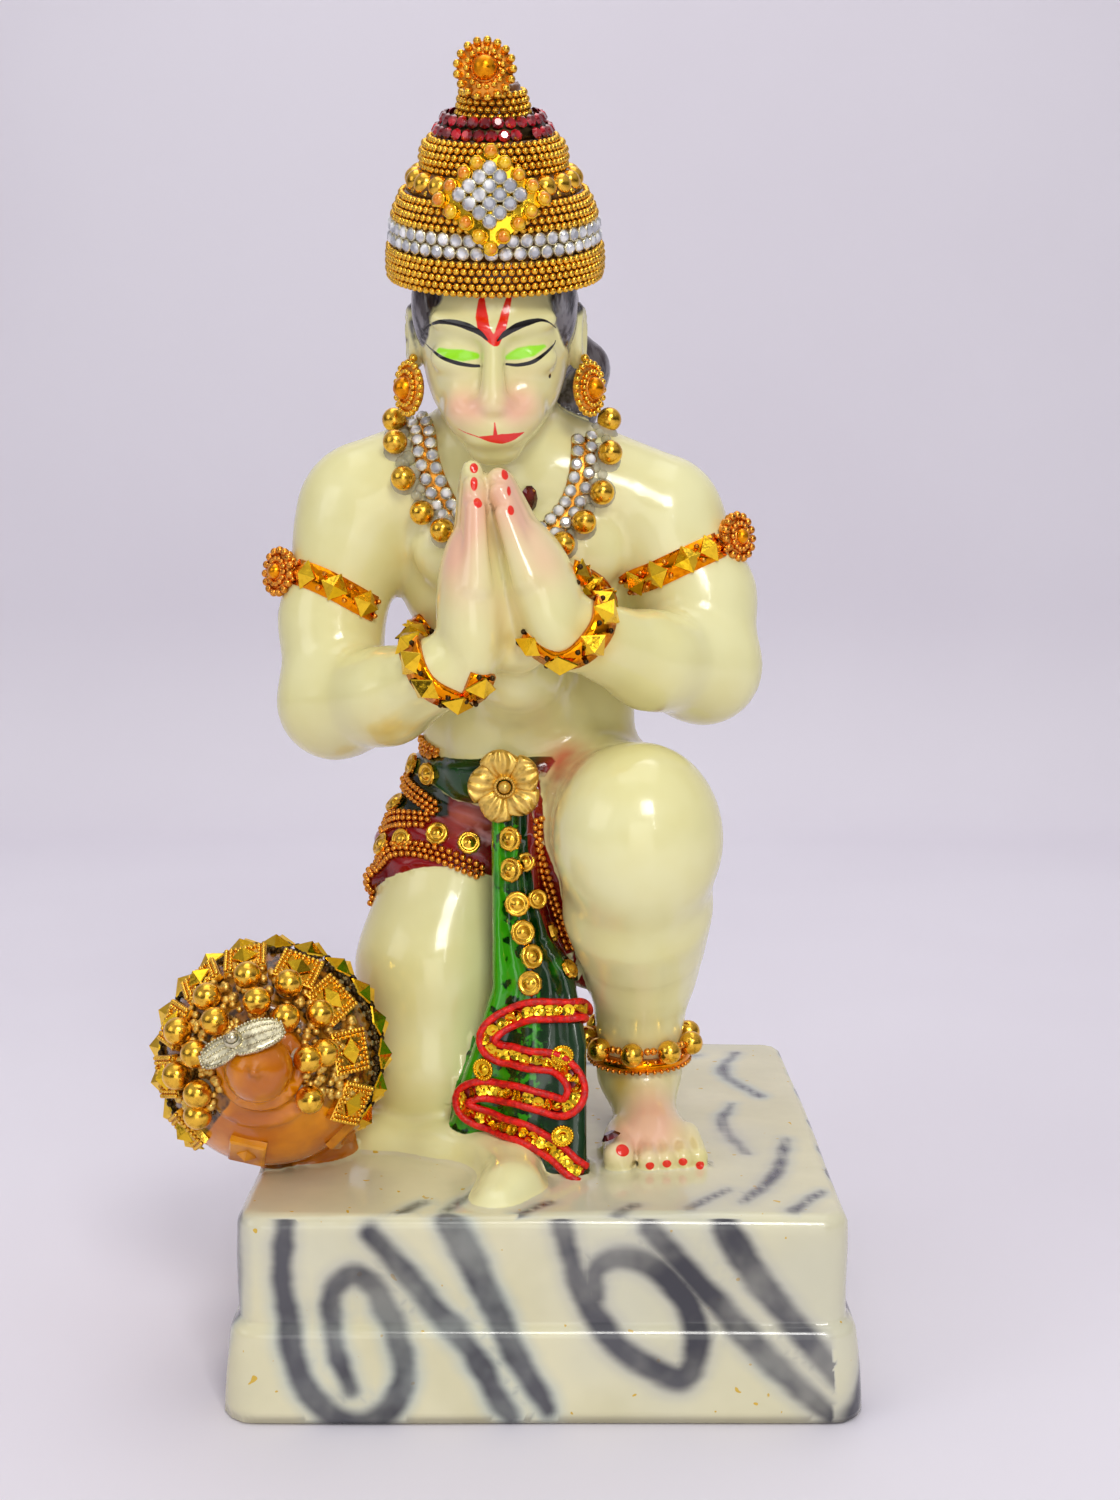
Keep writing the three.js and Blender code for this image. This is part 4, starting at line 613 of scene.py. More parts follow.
RAY_ROUNDS = 120


def slope(p, field=body, step=0.25):
    """Unit outward direction of a field at each point, from four samples."""
    corners = np.array([(1, 1, 1), (1, -1, -1), (-1, 1, -1), (-1, -1, 1)], float)
    n = sum(c * field(p + c * step)[:, None] for c in corners)
    return n / np.maximum(np.linalg.norm(n, axis=1), 1e-9)[:, None]


def settle(p, field=body, rounds=3):
    p = np.array(p, float)
    for _ in range(rounds):
        p -= slope(p, field) * field(p)[:, None] * 0.95
    return p


def met(start, way, field=body):
    """Where rays first meet a field."""
    p = np.array(start, float)
    way = np.asarray(way, float) / np.linalg.norm(way, axis=-1, keepdims=True)
    for _ in range(RAY_ROUNDS):
        p += way * np.clip(field(p), -1, 30)[:, None] * 0.75
    return p


def sight(pixels):
    """The way from the camera through points of the picture's frame."""
    across, down = (np.asarray(pixels, float) - FRAME_CENTRE).T / FOCAL
    return LOOK + np.outer(across, [1, 0, 0]) - np.outer(down, LIFT)


def seen(pixels, field=cast):
    """The surface points behind points of the picture's frame."""
    return met(np.tile(EYE, (len(pixels), 1)), sight(pixels), field)


def spotted(pixel, field=cast):
    """The one surface point behind a point of the picture's frame."""
    return seen([pixel], field)[0]


# Netting a field into a mesh
BLOCK = 6
BATCH = 200000
FAR = 1e3


def sample(field, low, high, cell):
    """The field on a grid, worked out only in the blocks that the surface may cross."""
    low, high = np.asarray(low, float), np.asarray(high, float)
    count = np.ceil((high - low) / cell).astype(int) + 1
    blocks = [np.minimum(np.arange(0, n, BLOCK) + BLOCK // 2, n - 1) for n in count]
    grid = np.stack(np.meshgrid(*blocks, indexing="ij"), -1)
    middle = field(low + cell * grid.reshape(-1, 3)).reshape(grid.shape[:3])

    def spread(a):
        for axis in range(3):
            a = np.repeat(a, BLOCK, axis)
        return a[: count[0], : count[1], : count[2]]

    values = spread(np.where(middle < 0, -FAR, FAR)).copy()
    index = np.argwhere(spread(np.abs(middle) < cell * BLOCK * 1.5))
    for start in range(0, len(index), BATCH):
        c = index[start : start + BATCH]
        values[c[:, 0], c[:, 1], c[:, 2]] = field(low + cell * c)
    return values, low


def net(field, low, high, cell):
    """A quad mesh with one point in every cell that the surface crosses."""
    v, low = sample(field, low, high, cell)
    inside = v < 0
    nx, ny, nz = v.shape
    corners = [(i, j, k) for i in (0, 1) for j in (0, 1) for k in (0, 1)]
    count = sum(inside[i : nx - 1 + i, j : ny - 1 + j, k : nz - 1 + k].astype(np.int8)
                for i, j, k in corners)
    active = (count > 0) & (count < 8)
    ids = np.full(active.shape, -1)
    cells = np.argwhere(active)
    ids[active] = np.arange(len(cells))
    total, number = np.zeros((len(cells), 3)), np.zeros(len(cells))
    for a in corners:
        for axis in range(3):
            if a[axis]:
                continue
            b = list(a)
            b[axis] = 1
            va = v[cells[:, 0] + a[0], cells[:, 1] + a[1], cells[:, 2] + a[2]]
            vb = v[cells[:, 0] + b[0], cells[:, 1] + b[1], cells[:, 2] + b[2]]
            crossing = (va < 0) != (vb < 0)
            t = np.where(crossing, va / np.where(crossing, va - vb, 1), 0)
            point = np.tile(np.array(a, float), (len(cells), 1))
            point[:, axis] += t
            total[crossing] += point[crossing]
            number[crossing] += 1
    points = low + cell * (cells + total / number[:, None])
    faces = []
    for axis in range(3):
        b, c = (axis + 1) % 3, (axis + 2) % 3
        first, second = [slice(None)] * 3, [slice(None)] * 3
        first[axis], second[axis] = slice(0, -1), slice(1, None)
        s0, s1 = inside[tuple(first)], inside[tuple(second)]
        edge = np.argwhere(s0 != s1)
        edge = edge[(edge[:, b] > 0) & (edge[:, c] > 0)]
        edge = edge[(edge[:, b] < v.shape[b] - 1) & (edge[:, c] < v.shape[c] - 1)]
        outward = s0[edge[:, 0], edge[:, 1], edge[:, 2]]
        quad = []
        for db, dc in ((0, 0), (-1, 0), (-1, -1), (0, -1)):
            e = edge.copy()
            e[:, b] += db
            e[:, c] += dc
            quad.append(ids[e[:, 0], e[:, 1], e[:, 2]])
        quad = np.stack(quad, 1)
        quad[~outward] = quad[~outward][:, ::-1]
        faces.append(quad)
    return points, np.concatenate(faces)


def split_quads(points, quads):
    """Triangles, cut along each quad's shorter diagonal."""
    ac = np.linalg.norm(points[quads[:, 0]] - points[quads[:, 2]], axis=1)
    bd = np.linalg.norm(points[quads[:, 1]] - points[quads[:, 3]], axis=1)
    one = ac <= bd
    q, r = quads[one], quads[~one]
    return np.concatenate([q[:, [0, 1, 2]], q[:, [0, 2, 3]], r[:, [0, 1, 3]], r[:, [1, 2, 3]]])


def refine(points, tris, wanted):
    """Cuts the wanted triangles in four, and their neighbours where they meet them."""
    edges = np.sort(np.stack([tris, np.roll(tris, -1, 1)], -1), -1)
    key = edges[..., 0].astype(np.int64) * len(points) + edges[..., 1]
    unique, back = np.unique(key, return_inverse=True)
    back = back.reshape(key.shape)
    cut = np.zeros(len(unique), bool)
    cut[back[wanted].ravel()] = True
    number = np.full(len(unique), -1)
    number[cut] = len(points) + np.arange(cut.sum())
    ends = np.stack([unique[cut] // len(points), unique[cut] % len(points)], 1)
    points = np.concatenate([points, points[ends].mean(1)])
    mid = number[back]
    marks = (mid >= 0).sum(1)
    out = [tris[marks == 0]]

    def keep(*triangles):
        out.extend(np.stack(corners, 1) for corners in triangles)

    (a, b, c), (ab, bc, ca) = tris[marks == 3].T, mid[marks == 3].T
    keep((a, ab, ca), (ab, b, bc), (ca, bc, c), (ab, bc, ca))
    for k in range(3):
        t, m = np.roll(tris[marks == 1], -k, 1), np.roll(mid[marks == 1], -k, 1)
        mine = m[:, 0] >= 0
        (a, b, c), ab = t[mine].T, m[mine, 0]
        keep((a, ab, c), (ab, b, c))
        t, m = np.roll(tris[marks == 2], -k, 1), np.roll(mid[marks == 2], -k, 1)
        mine = m[:, 2] < 0
        (a, b, c), (ab, bc, ca) = t[mine].T, m[mine].T
        keep((ab, b, bc), (a, ab, bc), (a, bc, c))
    return points, np.concatenate(out), len(points) - cut.sum()


# Paint laid on the casting
def stroke(p, line, widths):
    """Distance outside a brushed line whose half-width runs through the given values."""
    line = np.asarray(line, float)
    widths = np.interp(np.linspace(0, 1, len(line)), np.linspace(0, 1, len(widths)), widths)
    best = np.full(len(p), 1e3)
    for a, b, wa, wb in zip(line, line[1:], widths, widths[1:]):
        way = b - a
        t = np.clip((p - a) @ way / max(way @ way, 1e-9), 0, 1)
        best = np.minimum(best, np.linalg.norm(p - a - t[:, None] * way, axis=1) - (wa + t * (wb - wa)))
    return best


def curved(points, steps=6):
    """A smooth curve through the given points."""
    p = np.asarray(points, float)
    if len(p) < 3:
        return p
    q = np.concatenate([[2 * p[0] - p[1]], p, [2 * p[-1] - p[-2]]])
    t = np.linspace(0, 1, steps, endpoint=False)[:, None]
    out = []
    for a, b, c, d in zip(q, q[1:], q[2:], q[3:]):
        straight = 2 * b + (c - a) * t
        out.append(0.5 * (straight + (2 * a - 5 * b + 4 * c - d) * t**2 + (3 * b - a - 3 * c + d) * t**3))
    return np.concatenate(out + [p[-1:]])


def spot(p, centre, reach):
    """1 at a spot, falling softly to 0 round it."""
    return np.exp(-((p - np.asarray(centre, float)) ** 2 / np.asarray(reach, float) ** 2).sum(1))


# Brushed lines on the face: points in the picture's frame, and half-widths in millimetres along them.
FACE_LINES = {
    "tilak": [([(481.5, 300.9), (482, 317), (485.3, 331.8), (494.7, 342)], (0.6, 1.05, 1.0, 0.7)),
              ([(509.4, 297), (505, 314), (500.6, 330.3), (496.2, 342)], (0.45, 0.7, 0.85, 0.7))],
    "brows": [([(423.5, 330.3), (428.5, 325.9), (438.8, 322), (453.5, 322.4), (468.2, 326.8), (480, 333.2),
                (487.4, 340)], (0.12, 0.15, 0.35, 0.5, 0.6, 0.45, 0.15)),
              ([(497.6, 340.6), (505, 334.1), (516.8, 326.8), (528.5, 322.4), (540.3, 320), (549.1, 322.4),
                (555.6, 327.6)], (0.15, 0.5, 0.6, 0.5, 0.3, 0.12, 0.1))],
    "lids": [([(425.6, 343.5), (431.5, 349.4), (441.8, 357.4), (456.5, 362.9), (471.2, 365.6), (479.4, 365.9)],
              (0.1, 0.15, 0.3, 0.35, 0.3, 0.25)),
             ([(505.9, 364.1), (518.2, 365), (532.9, 361.8), (544.7, 353.8), (553.5, 345), (555.6, 340.6)],
              (0.2, 0.3, 0.35, 0.28, 0.15, 0.1)),
             ([(549.7, 375.5), (549.9, 376.3)], (0.35, 0.35))],
    "green": [([(438.8, 350), (449.1, 353.8), (462.4, 355.3), (477.1, 355.9)], (0.45, 0.85, 1.0, 0.5)),
              ([(506.5, 357.6), (518.2, 353.8), (531.5, 350.9), (544.7, 345.9)], (0.4, 0.95, 0.95, 0.3))],
    "lips": [([(478.5, 437.1), (490.3, 438.8), (502.1, 439.1), (513.8, 436.5), (524.1, 432.4)],
              (0.1, 0.6, 0.9, 0.62, 0.1)),
             ([(478.5, 437.1), (465.3, 432.4), (457.9, 428.8)], (0.12, 0.08)),
             ([(494.7, 422.9), (495.3, 434.7)], (0.12, 0.36))],
    "fringe": [([(402, 298), (420, 297), (437, 299)], (2.0, 2.2, 1.4)),
               ([(424, 304), (412, 322), (417, 352)], (1.6, 0.7, 0.1)),
               ([(405, 306), (403, 330), (408, 345)], (1.5, 0.8, 0.2)),
               ([(433, 300), (427, 318), (424, 334)], (0.8, 0.4, 0.1)),
               ([(567, 294), (568, 318), (569, 356)], (2.7, 2.3, 0.2)),
               ([(556, 296), (557, 318), (560, 330)], (1.2, 0.9, 0.2)),
               ([(580, 298), (577, 314), (573, 330)], (1.2, 0.9, 0.3))],
}
# painted finger and toe nails: the middle in the picture's frame, and half sizes in millimetres
NAILS = [((505, 474), (0.62, 1.05)), ((509, 491), (0.35, 0.9)), ((511, 510), (0.55, 0.9)),
         ((474, 468), (0.7, 0.9)), ((474, 483), (0.6, 1.3)), ((478, 502), (0.75, 1.15)),
         ((623, 1150), (1.25, 1.1)), ((650, 1166), (0.8, 0.7)), ((667, 1164), (0.8, 0.7)),
         ((683, 1162), (0.8, 0.7)), ((700, 1165), (0.75, 0.7))]
# the swirls on the plinth's front, and the streaks on its top in its own millimetres
SWIRLS = [([(284, 1229), (281, 1278), (288, 1322), (295, 1357), (310, 1388), (336, 1412), (367, 1418),
            (394, 1401), (405, 1370), (398, 1339), (385, 1313), (374, 1291), (352, 1278), (332, 1295),
            (332, 1322), (339, 1357), (352, 1385)], (0.9, 1.3, 1.5, 1.2, 1.4, 1.0, 0.8)),
          ([(369, 1236), (402, 1273), (438, 1315), (473, 1352), (499, 1396), (512, 1414)], (1.0, 1.3, 1.2, 0.8)),
          ([(442, 1216), (464, 1251), (490, 1304), (517, 1357), (548, 1405)], (1.0, 2.0, 1.4, 1.2, 0.8)),
          ([(561, 1225), (574, 1273), (592, 1313), (618, 1344), (653, 1366), (684, 1374), (697, 1344),
            (689, 1308), (658, 1273), (622, 1260), (596, 1273), (596, 1300)],
           (1.0, 1.3, 1.3, 1.6, 1.5, 1.2, 0.8)),
          ([(649, 1229), (684, 1269), (728, 1317), (768, 1357), (807, 1392), (838, 1418)],
           (0.9, 1.3, 1.4, 1.2, 0.8)),
          ([(719, 1216), (733, 1242), (768, 1295), (799, 1330), (834, 1370), (865, 1414)],
           (1.0, 1.9, 1.3, 1.2, 0.8))]
TOP_STREAKS = [([(-16, -47), (-8, -34), (-2, -30)], (0.3, 0.6, 0.2)),
               ([(33, -44), (40, -30), (44, -12)], (0.3, 0.8, 0.3)),
               ([(24, -47), (31, -38)], (0.5, 0.3)), ([(41, -47), (47, -38)], (0.6, 0.3)),
               ([(-24, -49), (-20, -43)], (0.7, 0.4)), ([(-4, -49), (1, -44)], (0.6, 0.3)),
               ([(12, -49), (15, -46)], (0.6, 0.4)), ([(36, -20), (33, -4), (36, 8)], (0.3, 0.6, 0.2)),
               ([(-30, 30), (-12, 38), (14, 34), (32, 40)], (0.4, 0.8, 0.6, 0.3)),
               ([(42, 12), (36, 28), (40, 42)], (0.4, 0.7, 0.3))]
# rubbed colour: places in the picture's frame, and reaches in millimetres
CHEEKS = [((460, 405), 1.0, (3.8, 4, 3.4)), ((520, 402), 1.0, (3.8, 4, 3.4)),
          ((478, 410), 0.5, (2.2, 3, 2.4)), ((512, 412), 0.5, (2.2, 3, 2.4))]
FINGERS = [((470, 500), 0.8, 3), ((468, 520), 0.7, 3), ((505, 480), 0.8, 3), ((510, 500), 0.8, 3),
           ((522, 522), 0.8, 4), ((458, 540), 0.8, 4.5), ((452, 562), 0.5, 4), ((545, 560), 0.6, 4),
           ((462, 590), 0.3, 4), ((500, 610), 0.25, 4)]
YELLOWED = [((380, 735), 4), ((400, 730), 3), ((600, 640), 4), ((415, 560), 3), ((622, 1085), 3),
            ((500, 640), 4)]
# darker brown patches rubbed on the skin beside the mace and beside the foot
BROWN_SPOTS = [((340, 975), 3), ((355, 1120), 4), ((600, 1095), 3.5), ((330, 1010), 3)]
SMEARED_RED = [((468, 817), (3.4, 5, 2.2)), ((562, 770), (3.5, 8, 3.5)), ((578, 760), (3.5, 8, 3))]
# where the drape's red begins beside the sash: heights, and how far across
DRAPE_SEAM = ((24, 30, 34, 39, 45, 51, 57), (12, 7.5, 4.2, 0.6, -1.4, -2.6, -3.2))
PLINTH_FRONT = -51.3
MARK_LIMIT = 4


def to_front(pixels):
    """Where points of the picture's frame meet the plane of the plinth's front, as across and up."""
    way = sight(pixels)
    reach = (PLINTH_FRONT - EYE[1]) / way[:, 1]
    return (EYE + way * reach[:, None])[:, [0, 2]]


def swirls(p):
    """Distance to the brushed swirls, the same hand on all four sides, and to the streaks on top."""
    x, y, z = p.T
    out = np.full(len(p), 50.0)
    low = z < -0.4
    for side, (u, v) in enumerate(((x, -y), (y, x), (-x, y), (-y, -x))):
        mine = low & (v > 47.5)
        if not mine.any():
            continue
        q = np.stack([u[mine], z[mine]], 1)
        best = np.full(len(q), 50.0)
        for pixels, widths in SWIRLS:
            line = curved(to_front(pixels))
            if side % 2:
                line = line * [-1, 1] + [1.5 * side, 0]
            best = np.minimum(best, stroke(q, line, widths))
        out[mine] = best
    top = (~low) & (np.maximum(np.abs(x), np.abs(y)) < 51)
    if top.any():
        q = p[top][:, :2]
        streaks = [stroke(q, curved(line), widths) for line, widths in TOP_STREAKS]
        out[top] = np.minimum.reduce(streaks) + 0.35
    return out


def nail_marks(p):
    best = np.full(len(p), 10.0)
    for pixel, (wide, tall) in NAILS:
        q = (p - spotted(pixel)) / [wide, max(wide, 1.2), tall]
        best = np.minimum(best, (np.linalg.norm(q, axis=1) - 1) * min(wide, tall))
    return best


def laid_lines(lines):
    """The same lines as dense points on the casting."""
    return [(seen(curved(pixels, 5)), widths) for pixels, widths in lines]


def strokes(p, lines):
    return np.minimum.reduce([stroke(p, line, widths) for line, widths in lines])


NET_LOW = (-76, -60, -35.2)
NET_HIGH = (56, 58, 192)


def make_casting():
    """The casting's net, cut finer where the brushed lines, the fingers and the toes need it."""
    cell = CELL
    points, quads = net(cast, NET_LOW, NET_HIGH, cell)
    tris = split_quads(points, quads)
    points[points[:, 2] < -PLINTH_TOP + 0.6 * cell, 2] = -PLINTH_TOP

    def finer(size, zone):
        nonlocal points, tris
        longest = np.linalg.norm(points[tris] - points[np.roll(tris, -1, 1)], axis=2).max(1)
        points, tris, old = refine(points, tris, (longest > size) & zone(points[tris].mean(1)))
        points[old:] = settle(points[old:], cast, 1)
        points[:, 2] = np.maximum(points[:, 2], -PLINTH_TOP)

    drawn = {name: laid_lines(lines) for name, lines in FACE_LINES.items()}
    lines = [line for name, group in drawn.items() for line in group if name != "fringe"]
    thin = drawn["brows"] + drawn["lids"] + drawn["lips"]

    def fine_zone(m):
        h = in_head(m)
        face = (np.abs(h[:, 0]) < 18) & (h[:, 1] > 1) & (np.abs(h[:, 2] + 1) < 15)
        palms = np.linalg.norm((m - [-5, -29, 108]) / [14, 8, 19], axis=1) < 1
        toes = (np.linalg.norm((m - [20, -27, 3]) / [12, 8, 6], axis=1) < 1) & (m[:, 2] > 0.3)
        return face | palms | toes | (m[:, 1] < -49) & (swirls(m) < 1.2)

    free = points[:, 2] > -PLINTH_TOP + 0.1
    points[free] = settle(points[free], cast, 2)
    points[:, 2] = np.maximum(points[:, 2], -PLINTH_TOP)
    finer(1.0, fine_zone)
    finer(0.5, lambda m: (strokes(m, lines) < 0.35) | (nail_marks(m) < 0.3))
    finer(0.3, lambda m: np.abs(strokes(m, thin)) < 0.3)
    mesh = make("casting_painted", points, tris, painted_look(), "casting").data
    for name, values in paint_values(points, drawn).items():
        layer = mesh.attributes.new(name, "FLOAT", "POINT")
        layer.data.foreach_set("value", np.clip(values, -MARK_LIMIT, MARK_LIMIT).astype(np.float32))
    mesh.normals_split_custom_set_from_vertices(slope(points, cast, 0.3).tolist())


def rubbed(p, plan):
    """Soft patches of colour, from their places, shares and reaches."""
    return sum(share * spot(p, spotted(pixel), reach) for pixel, share, reach in plan)


def paint_values(p, drawn):
    """How deep each point lies in every painted region and mark, by name."""
    depths = {**regions(p), "plinth": plinth(p)}
    stack = np.stack(list(depths.values()))
    nearest, second = np.sort(stack, 0)[:2]
    out = {name: np.where(own <= nearest, second, nearest) - own for name, own in zip(depths, stack)}
    x, _, z = p.T
    h = in_head(p)
    near = (h[:, 1] > -6) & (np.abs(h[:, 2]) < 22)
    for name, line in drawn.items():
        out[name] = np.full(len(p), -10.0)
        out[name][near] = -strokes(p[near], line)
    out["nails"] = -nail_marks(p)
    out["swirl"] = -swirls(p)
    left, right = sash_edges(z)
    out["sash_side"] = np.clip((x - left) / (right - left), 0, 1)
    out["drape_side"] = np.minimum(x - np.interp(z, *DRAPE_SEAM), z - 27)
    fingers = [(pixel, share, (reach, reach + 1, reach + 0.5)) for pixel, share, reach in FINGERS]
    foot = spot(p, (16, -26, 5), (8, 5, 4)) + 0.9 * spot(p, (19, -20, 8), (6, 7, 4))
    out["blush"] = np.clip(rubbed(p, CHEEKS) + rubbed(p, fingers) + foot, 0, 1)
    chest_stains = spot(p, (13.5, -8, 88), (3.5, 6, 5)) + spot(p, (18, -6, 74), (3, 6, 2))
    plans = (YELLOWED, BROWN_SPOTS, SMEARED_RED)
    yellowed, browned, red = ([(pixel, 1, reach) for pixel, reach in plan] for plan in plans)
    out["stain"] = np.clip(chest_stains + rubbed(p, yellowed), 0, 1)
    out["brown_spot"] = np.clip(rubbed(p, browned), 0, 1)
    out["rose"] = np.clip(rubbed(p, red), 0, 1)
    reach = np.linalg.norm(p - MACE, axis=1)
    way = (p - MACE) / np.maximum(reach, 1e-6)[:, None]
    polar = np.degrees(np.arccos(np.clip(way @ MACE_OUT, -1, 1)))
    turn = np.degrees(np.arctan2(way @ MACE_SIDE, way @ MACE_UP))
    # the mace's ground between its trims, darkened to brown gold: partly its own gold-brown paint, partly painted
    # shade between the trims
    gap_paint_and_shade = np.minimum(np.minimum(polar - 23, 104 - polar), np.minimum(turn + 140, 126 - turn) * 0.6) / 3
    out["gap_paint_and_shade"] = np.where(reach < 24, gap_paint_and_shade, -MARK_LIMIT)
    out["dark_side"] = np.minimum(z - 58.4, -17.5 - x)
    return out


def painted_look():
    """The paint: a ground for each region, marks over them, and a clear coat on top."""
    s = Shade("painted_resin", roughness=0.3)

    def centred(value, share):
        return s.math("MULTIPLY", s.math("SUBTRACT", value, 0.5), share)

    def plus(a, b, share=1.0):
        return s.math("ADD", a, s.math("MULTIPLY", b, share))

    def mottled(value, low, high, first, second):
        return s.mix(s.rise(value, low, high), linear(*first), linear(*second))

    def patched(ground, value, low, high, share, colour):
        return s.mix(s.rise(value, low, high, 0, share), ground, linear(*colour))

    def rubbed_on(ground, name, share, colour):
        return s.mix(s.math("MULTIPLY", s.attribute(name), share, True), ground, linear(*colour))

    waver = centred(s.noise(420, 3), 0.9)
    fine = centred(s.noise(1300, 2), 0.5)

    def mask(name, soft=0.12, wave=0.5):
        return s.rise(plus(s.attribute(name), waver, wave), -soft, soft)

    broad = s.noise(60, 3)
    patch = s.noise(25, 2)
    skin = mottled(broad, 0.3, 0.7, (240, 236, 180), (234, 227, 160))
    skin = patched(skin, patch, 0.45, 0.75, 0.4, (222, 212, 140))
    skin = rubbed_on(skin, "blush", 0.75, (246, 178, 158))
    skin = rubbed_on(skin, "stain", s.rise(broad, 0.4, 0.6, 0.2, 0.9), (222, 184, 70))
    # darker brown patches on the skin beside the mace and the foot
    skin = rubbed_on(skin, "brown_spot", s.rise(broad, 0.4, 0.6, 0.3, 0.9), (140, 104, 60))
    skin = rubbed_on(skin, "rose", s.rise(broad, 0.35, 0.6, 0.3, 0.9), (200, 70, 50))

    stone = mottled(broad, 0.3, 0.7, (216, 210, 172), (228, 222, 186))
    stone = patched(stone, patch, 0.45, 0.7, 0.6, (206, 206, 188))
    stone = patched(stone, s.noise(520, 1), 0.74, 0.76, 1, (214, 176, 60))
    brush = s.attribute("swirl")
    soft_edge = centred(s.noise(260, 2, s.place((0.35, 1, 1))), 1.4)
    bleed = s.rise(plus(brush, soft_edge, 1.4), -3.6, 0.2, 0, 0.5)
    stone = s.mix(bleed, stone, mottled(patch, 0.4, 0.6, (150, 178, 200), (168, 170, 176)))
    worn = s.rise(s.noise(75, 3), 0.3, 0.6, 0.62, 1.0)
    ink = s.math("MULTIPLY", s.rise(plus(brush, soft_edge), -1.7, 0.4), worn)
    stone = s.mix(ink, stone, mottled(broad, 0.4, 0.6, (52, 52, 60), (78, 78, 84)))

    strands = s.noise(700, 3, s.place((1, 1, 0.25)))
    locks = mottled(strands, 0.4, 0.62, (44, 42, 46), (134, 132, 138))
    locks = patched(locks, broad, 0.45, 0.65, 0.7, (60, 46, 44))

    cloth = mottled(broad, 0.3, 0.7, (160, 10, 14), (92, 4, 8))
    cloth = patched(cloth, s.noise(150, 3), 0.66, 0.74, 0.8, (206, 140, 134))
    cloth = rubbed_on(cloth, "rose", 0.8, (216, 120, 104))
    cloth = s.mix(mask("dark_side", 0.4, 0.8), cloth, linear(8, 30, 8))

    # the sash's green: bright on its left part and near-black over the rest; the near-black green is painted
    # shade standing for the shade in its folds
    across = plus(s.attribute("sash_side"), waver, 3)
    silk = mottled(across, 0.25, 0.45, (54, 160, 12), (6, 48, 8))
    silk = patched(silk, s.noise(140, 3), 0.55, 0.7, 0.7, (34, 120, 10))
    silk = patched(silk, plus(s.attribute("drape_side"), waver, 0.6), 0.0, 0.3, 1, (122, 8, 10))

    waist = rubbed_on(mottled(broad, 0.45, 0.65, (3, 12, 2), (10, 66, 6)), "rose", 1.4, (150, 20, 12))
    metal = mottled(s.noise(110, 3), 0.35, 0.7, (192, 104, 2), (234, 146, 3))
    # brown gold between the mace's trims: partly the ground's own paint, partly painted shade between the trims
    gap_paint_and_shade = mottled(s.noise(600, 3), 0.4, 0.6, (150, 96, 16), (60, 36, 8))
    metal = s.mix(mask("gap_paint_and_shade", 0.2, 0.6), metal, gap_paint_and_shade)
    core = mottled(s.noise(300, 3), 0.35, 0.7, (120, 72, 20), (64, 40, 20))

    color = skin
    for name, look, soft, wave in (
            ("plinth", stone, 0.15, 0.3), ("hair", locks, 0.3, 0.7), ("cloth", cloth, 0.15, 0.5),
            ("sash", silk, 0.12, 0.3), ("belt", waist, 0.12, 0.3), ("mace", metal, 0.15, 0.4),
            ("crown", core, 0.15, 0.4), ("fringe", locks, 0.5, 1.2), ("tilak", linear(236, 34, 16), 0.1, 0.25),
            ("green", linear(160, 240, 40), 0.22, 0.3), ("brows", linear(24, 20, 20), 0.07, 0.12),
            ("lids", linear(20, 18, 18), 0.06, 0.08), ("lips", linear(236, 40, 26), 0.07, 0.1),
            ("nails", linear(240, 40, 18), 0.08, 0.12)):
        color = s.mix(mask(name, soft, wave), color, look)
    s.set("Base Color", color)
    s.set("Roughness", s.rise(s.noise(500, 2), 0.3, 0.7, 0.14, 0.26))
    dark_paint = s.math("MAXIMUM", mask("belt"), mask("cloth"))
    s.set("Coat Weight", s.math("SUBTRACT", 0.35, s.math("MULTIPLY", dark_paint, 0.25)))
    s.bsdf.inputs["Coat Roughness"].default_value = 0.06
    s.bump(plus(s.noise(90, 2), fine, 0.05), 0.0006, 0.25)
    return s


# Small shapes for the trims
def around(count, phase=0.0):
    """Angles evenly round a circle."""
    return (np.arange(count) + phase) * 2 * math.pi / count


def lathe(profile, turns, shape=None):
    """A turned shape from (radius, height) pairs, lowest first."""
    points, rows, faces = [], [], []
    for radius, height in profile:
        if radius < 1e-6:
            rows.append([len(points)] * turns)
            points.append((0, 0, height))
            continue
        rows.append(range(len(points), len(points) + turns))
        for i, a in enumerate(around(turns)):
            r = radius * (shape(i) if shape else 1)
            points.append((r * math.cos(a), r * math.sin(a), height))
    for low, high in zip(rows, rows[1:]):
        for i in range(turns):
            j = (i + 1) % turns
            for f in ((low[i], low[j], high[j]), (low[i], high[j], high[i])):
                if len(set(f)) == 3:
                    faces.append(f)
    return np.array(points, float), np.array(faces)


def ball_shape(radius, turns=12, rings=8, low=-0.85, lift=0.0):
    """A ball cut off at a share of its radius below its middle."""
    angles = np.linspace(math.asin(low), math.pi / 2, rings)
    profile = [(radius * math.cos(a), radius * math.sin(a) + lift) for a in angles]
    profile[-1] = (0, radius + lift)
    return lathe(profile, turns)


def moved(shape, move):
    return shape[0] + np.asarray(move, float), shape[1]


def ring_of(shape, count, radius, height, look, phase=0.0):
    """A shape's copies round a circle, as parts."""
    return [(moved(shape, (radius * math.cos(a), radius * math.sin(a), height)), look, True)
            for a in around(count, phase)]


def pyramid_shape(wide, tall, high, lift=0.0, skirt=0.35):
    x, y = wide / 2, tall / 2
    ring = np.array([(x, 0), (0, y), (-x, 0), (0, -y)])
    points = [(*v, lift) for v in ring] + [(*v * 0.96, lift + skirt) for v in ring]
    points += [(0, 0, lift + high), (0, 0, lift)]
    faces = []
    for i in range(4):
        j = (i + 1) % 4
        faces += [(i, j, 4 + j), (i, 4 + j, 4 + i), (4 + i, 4 + j, 8), (j, i, 9)]
    return np.array(points, float), np.array(faces)


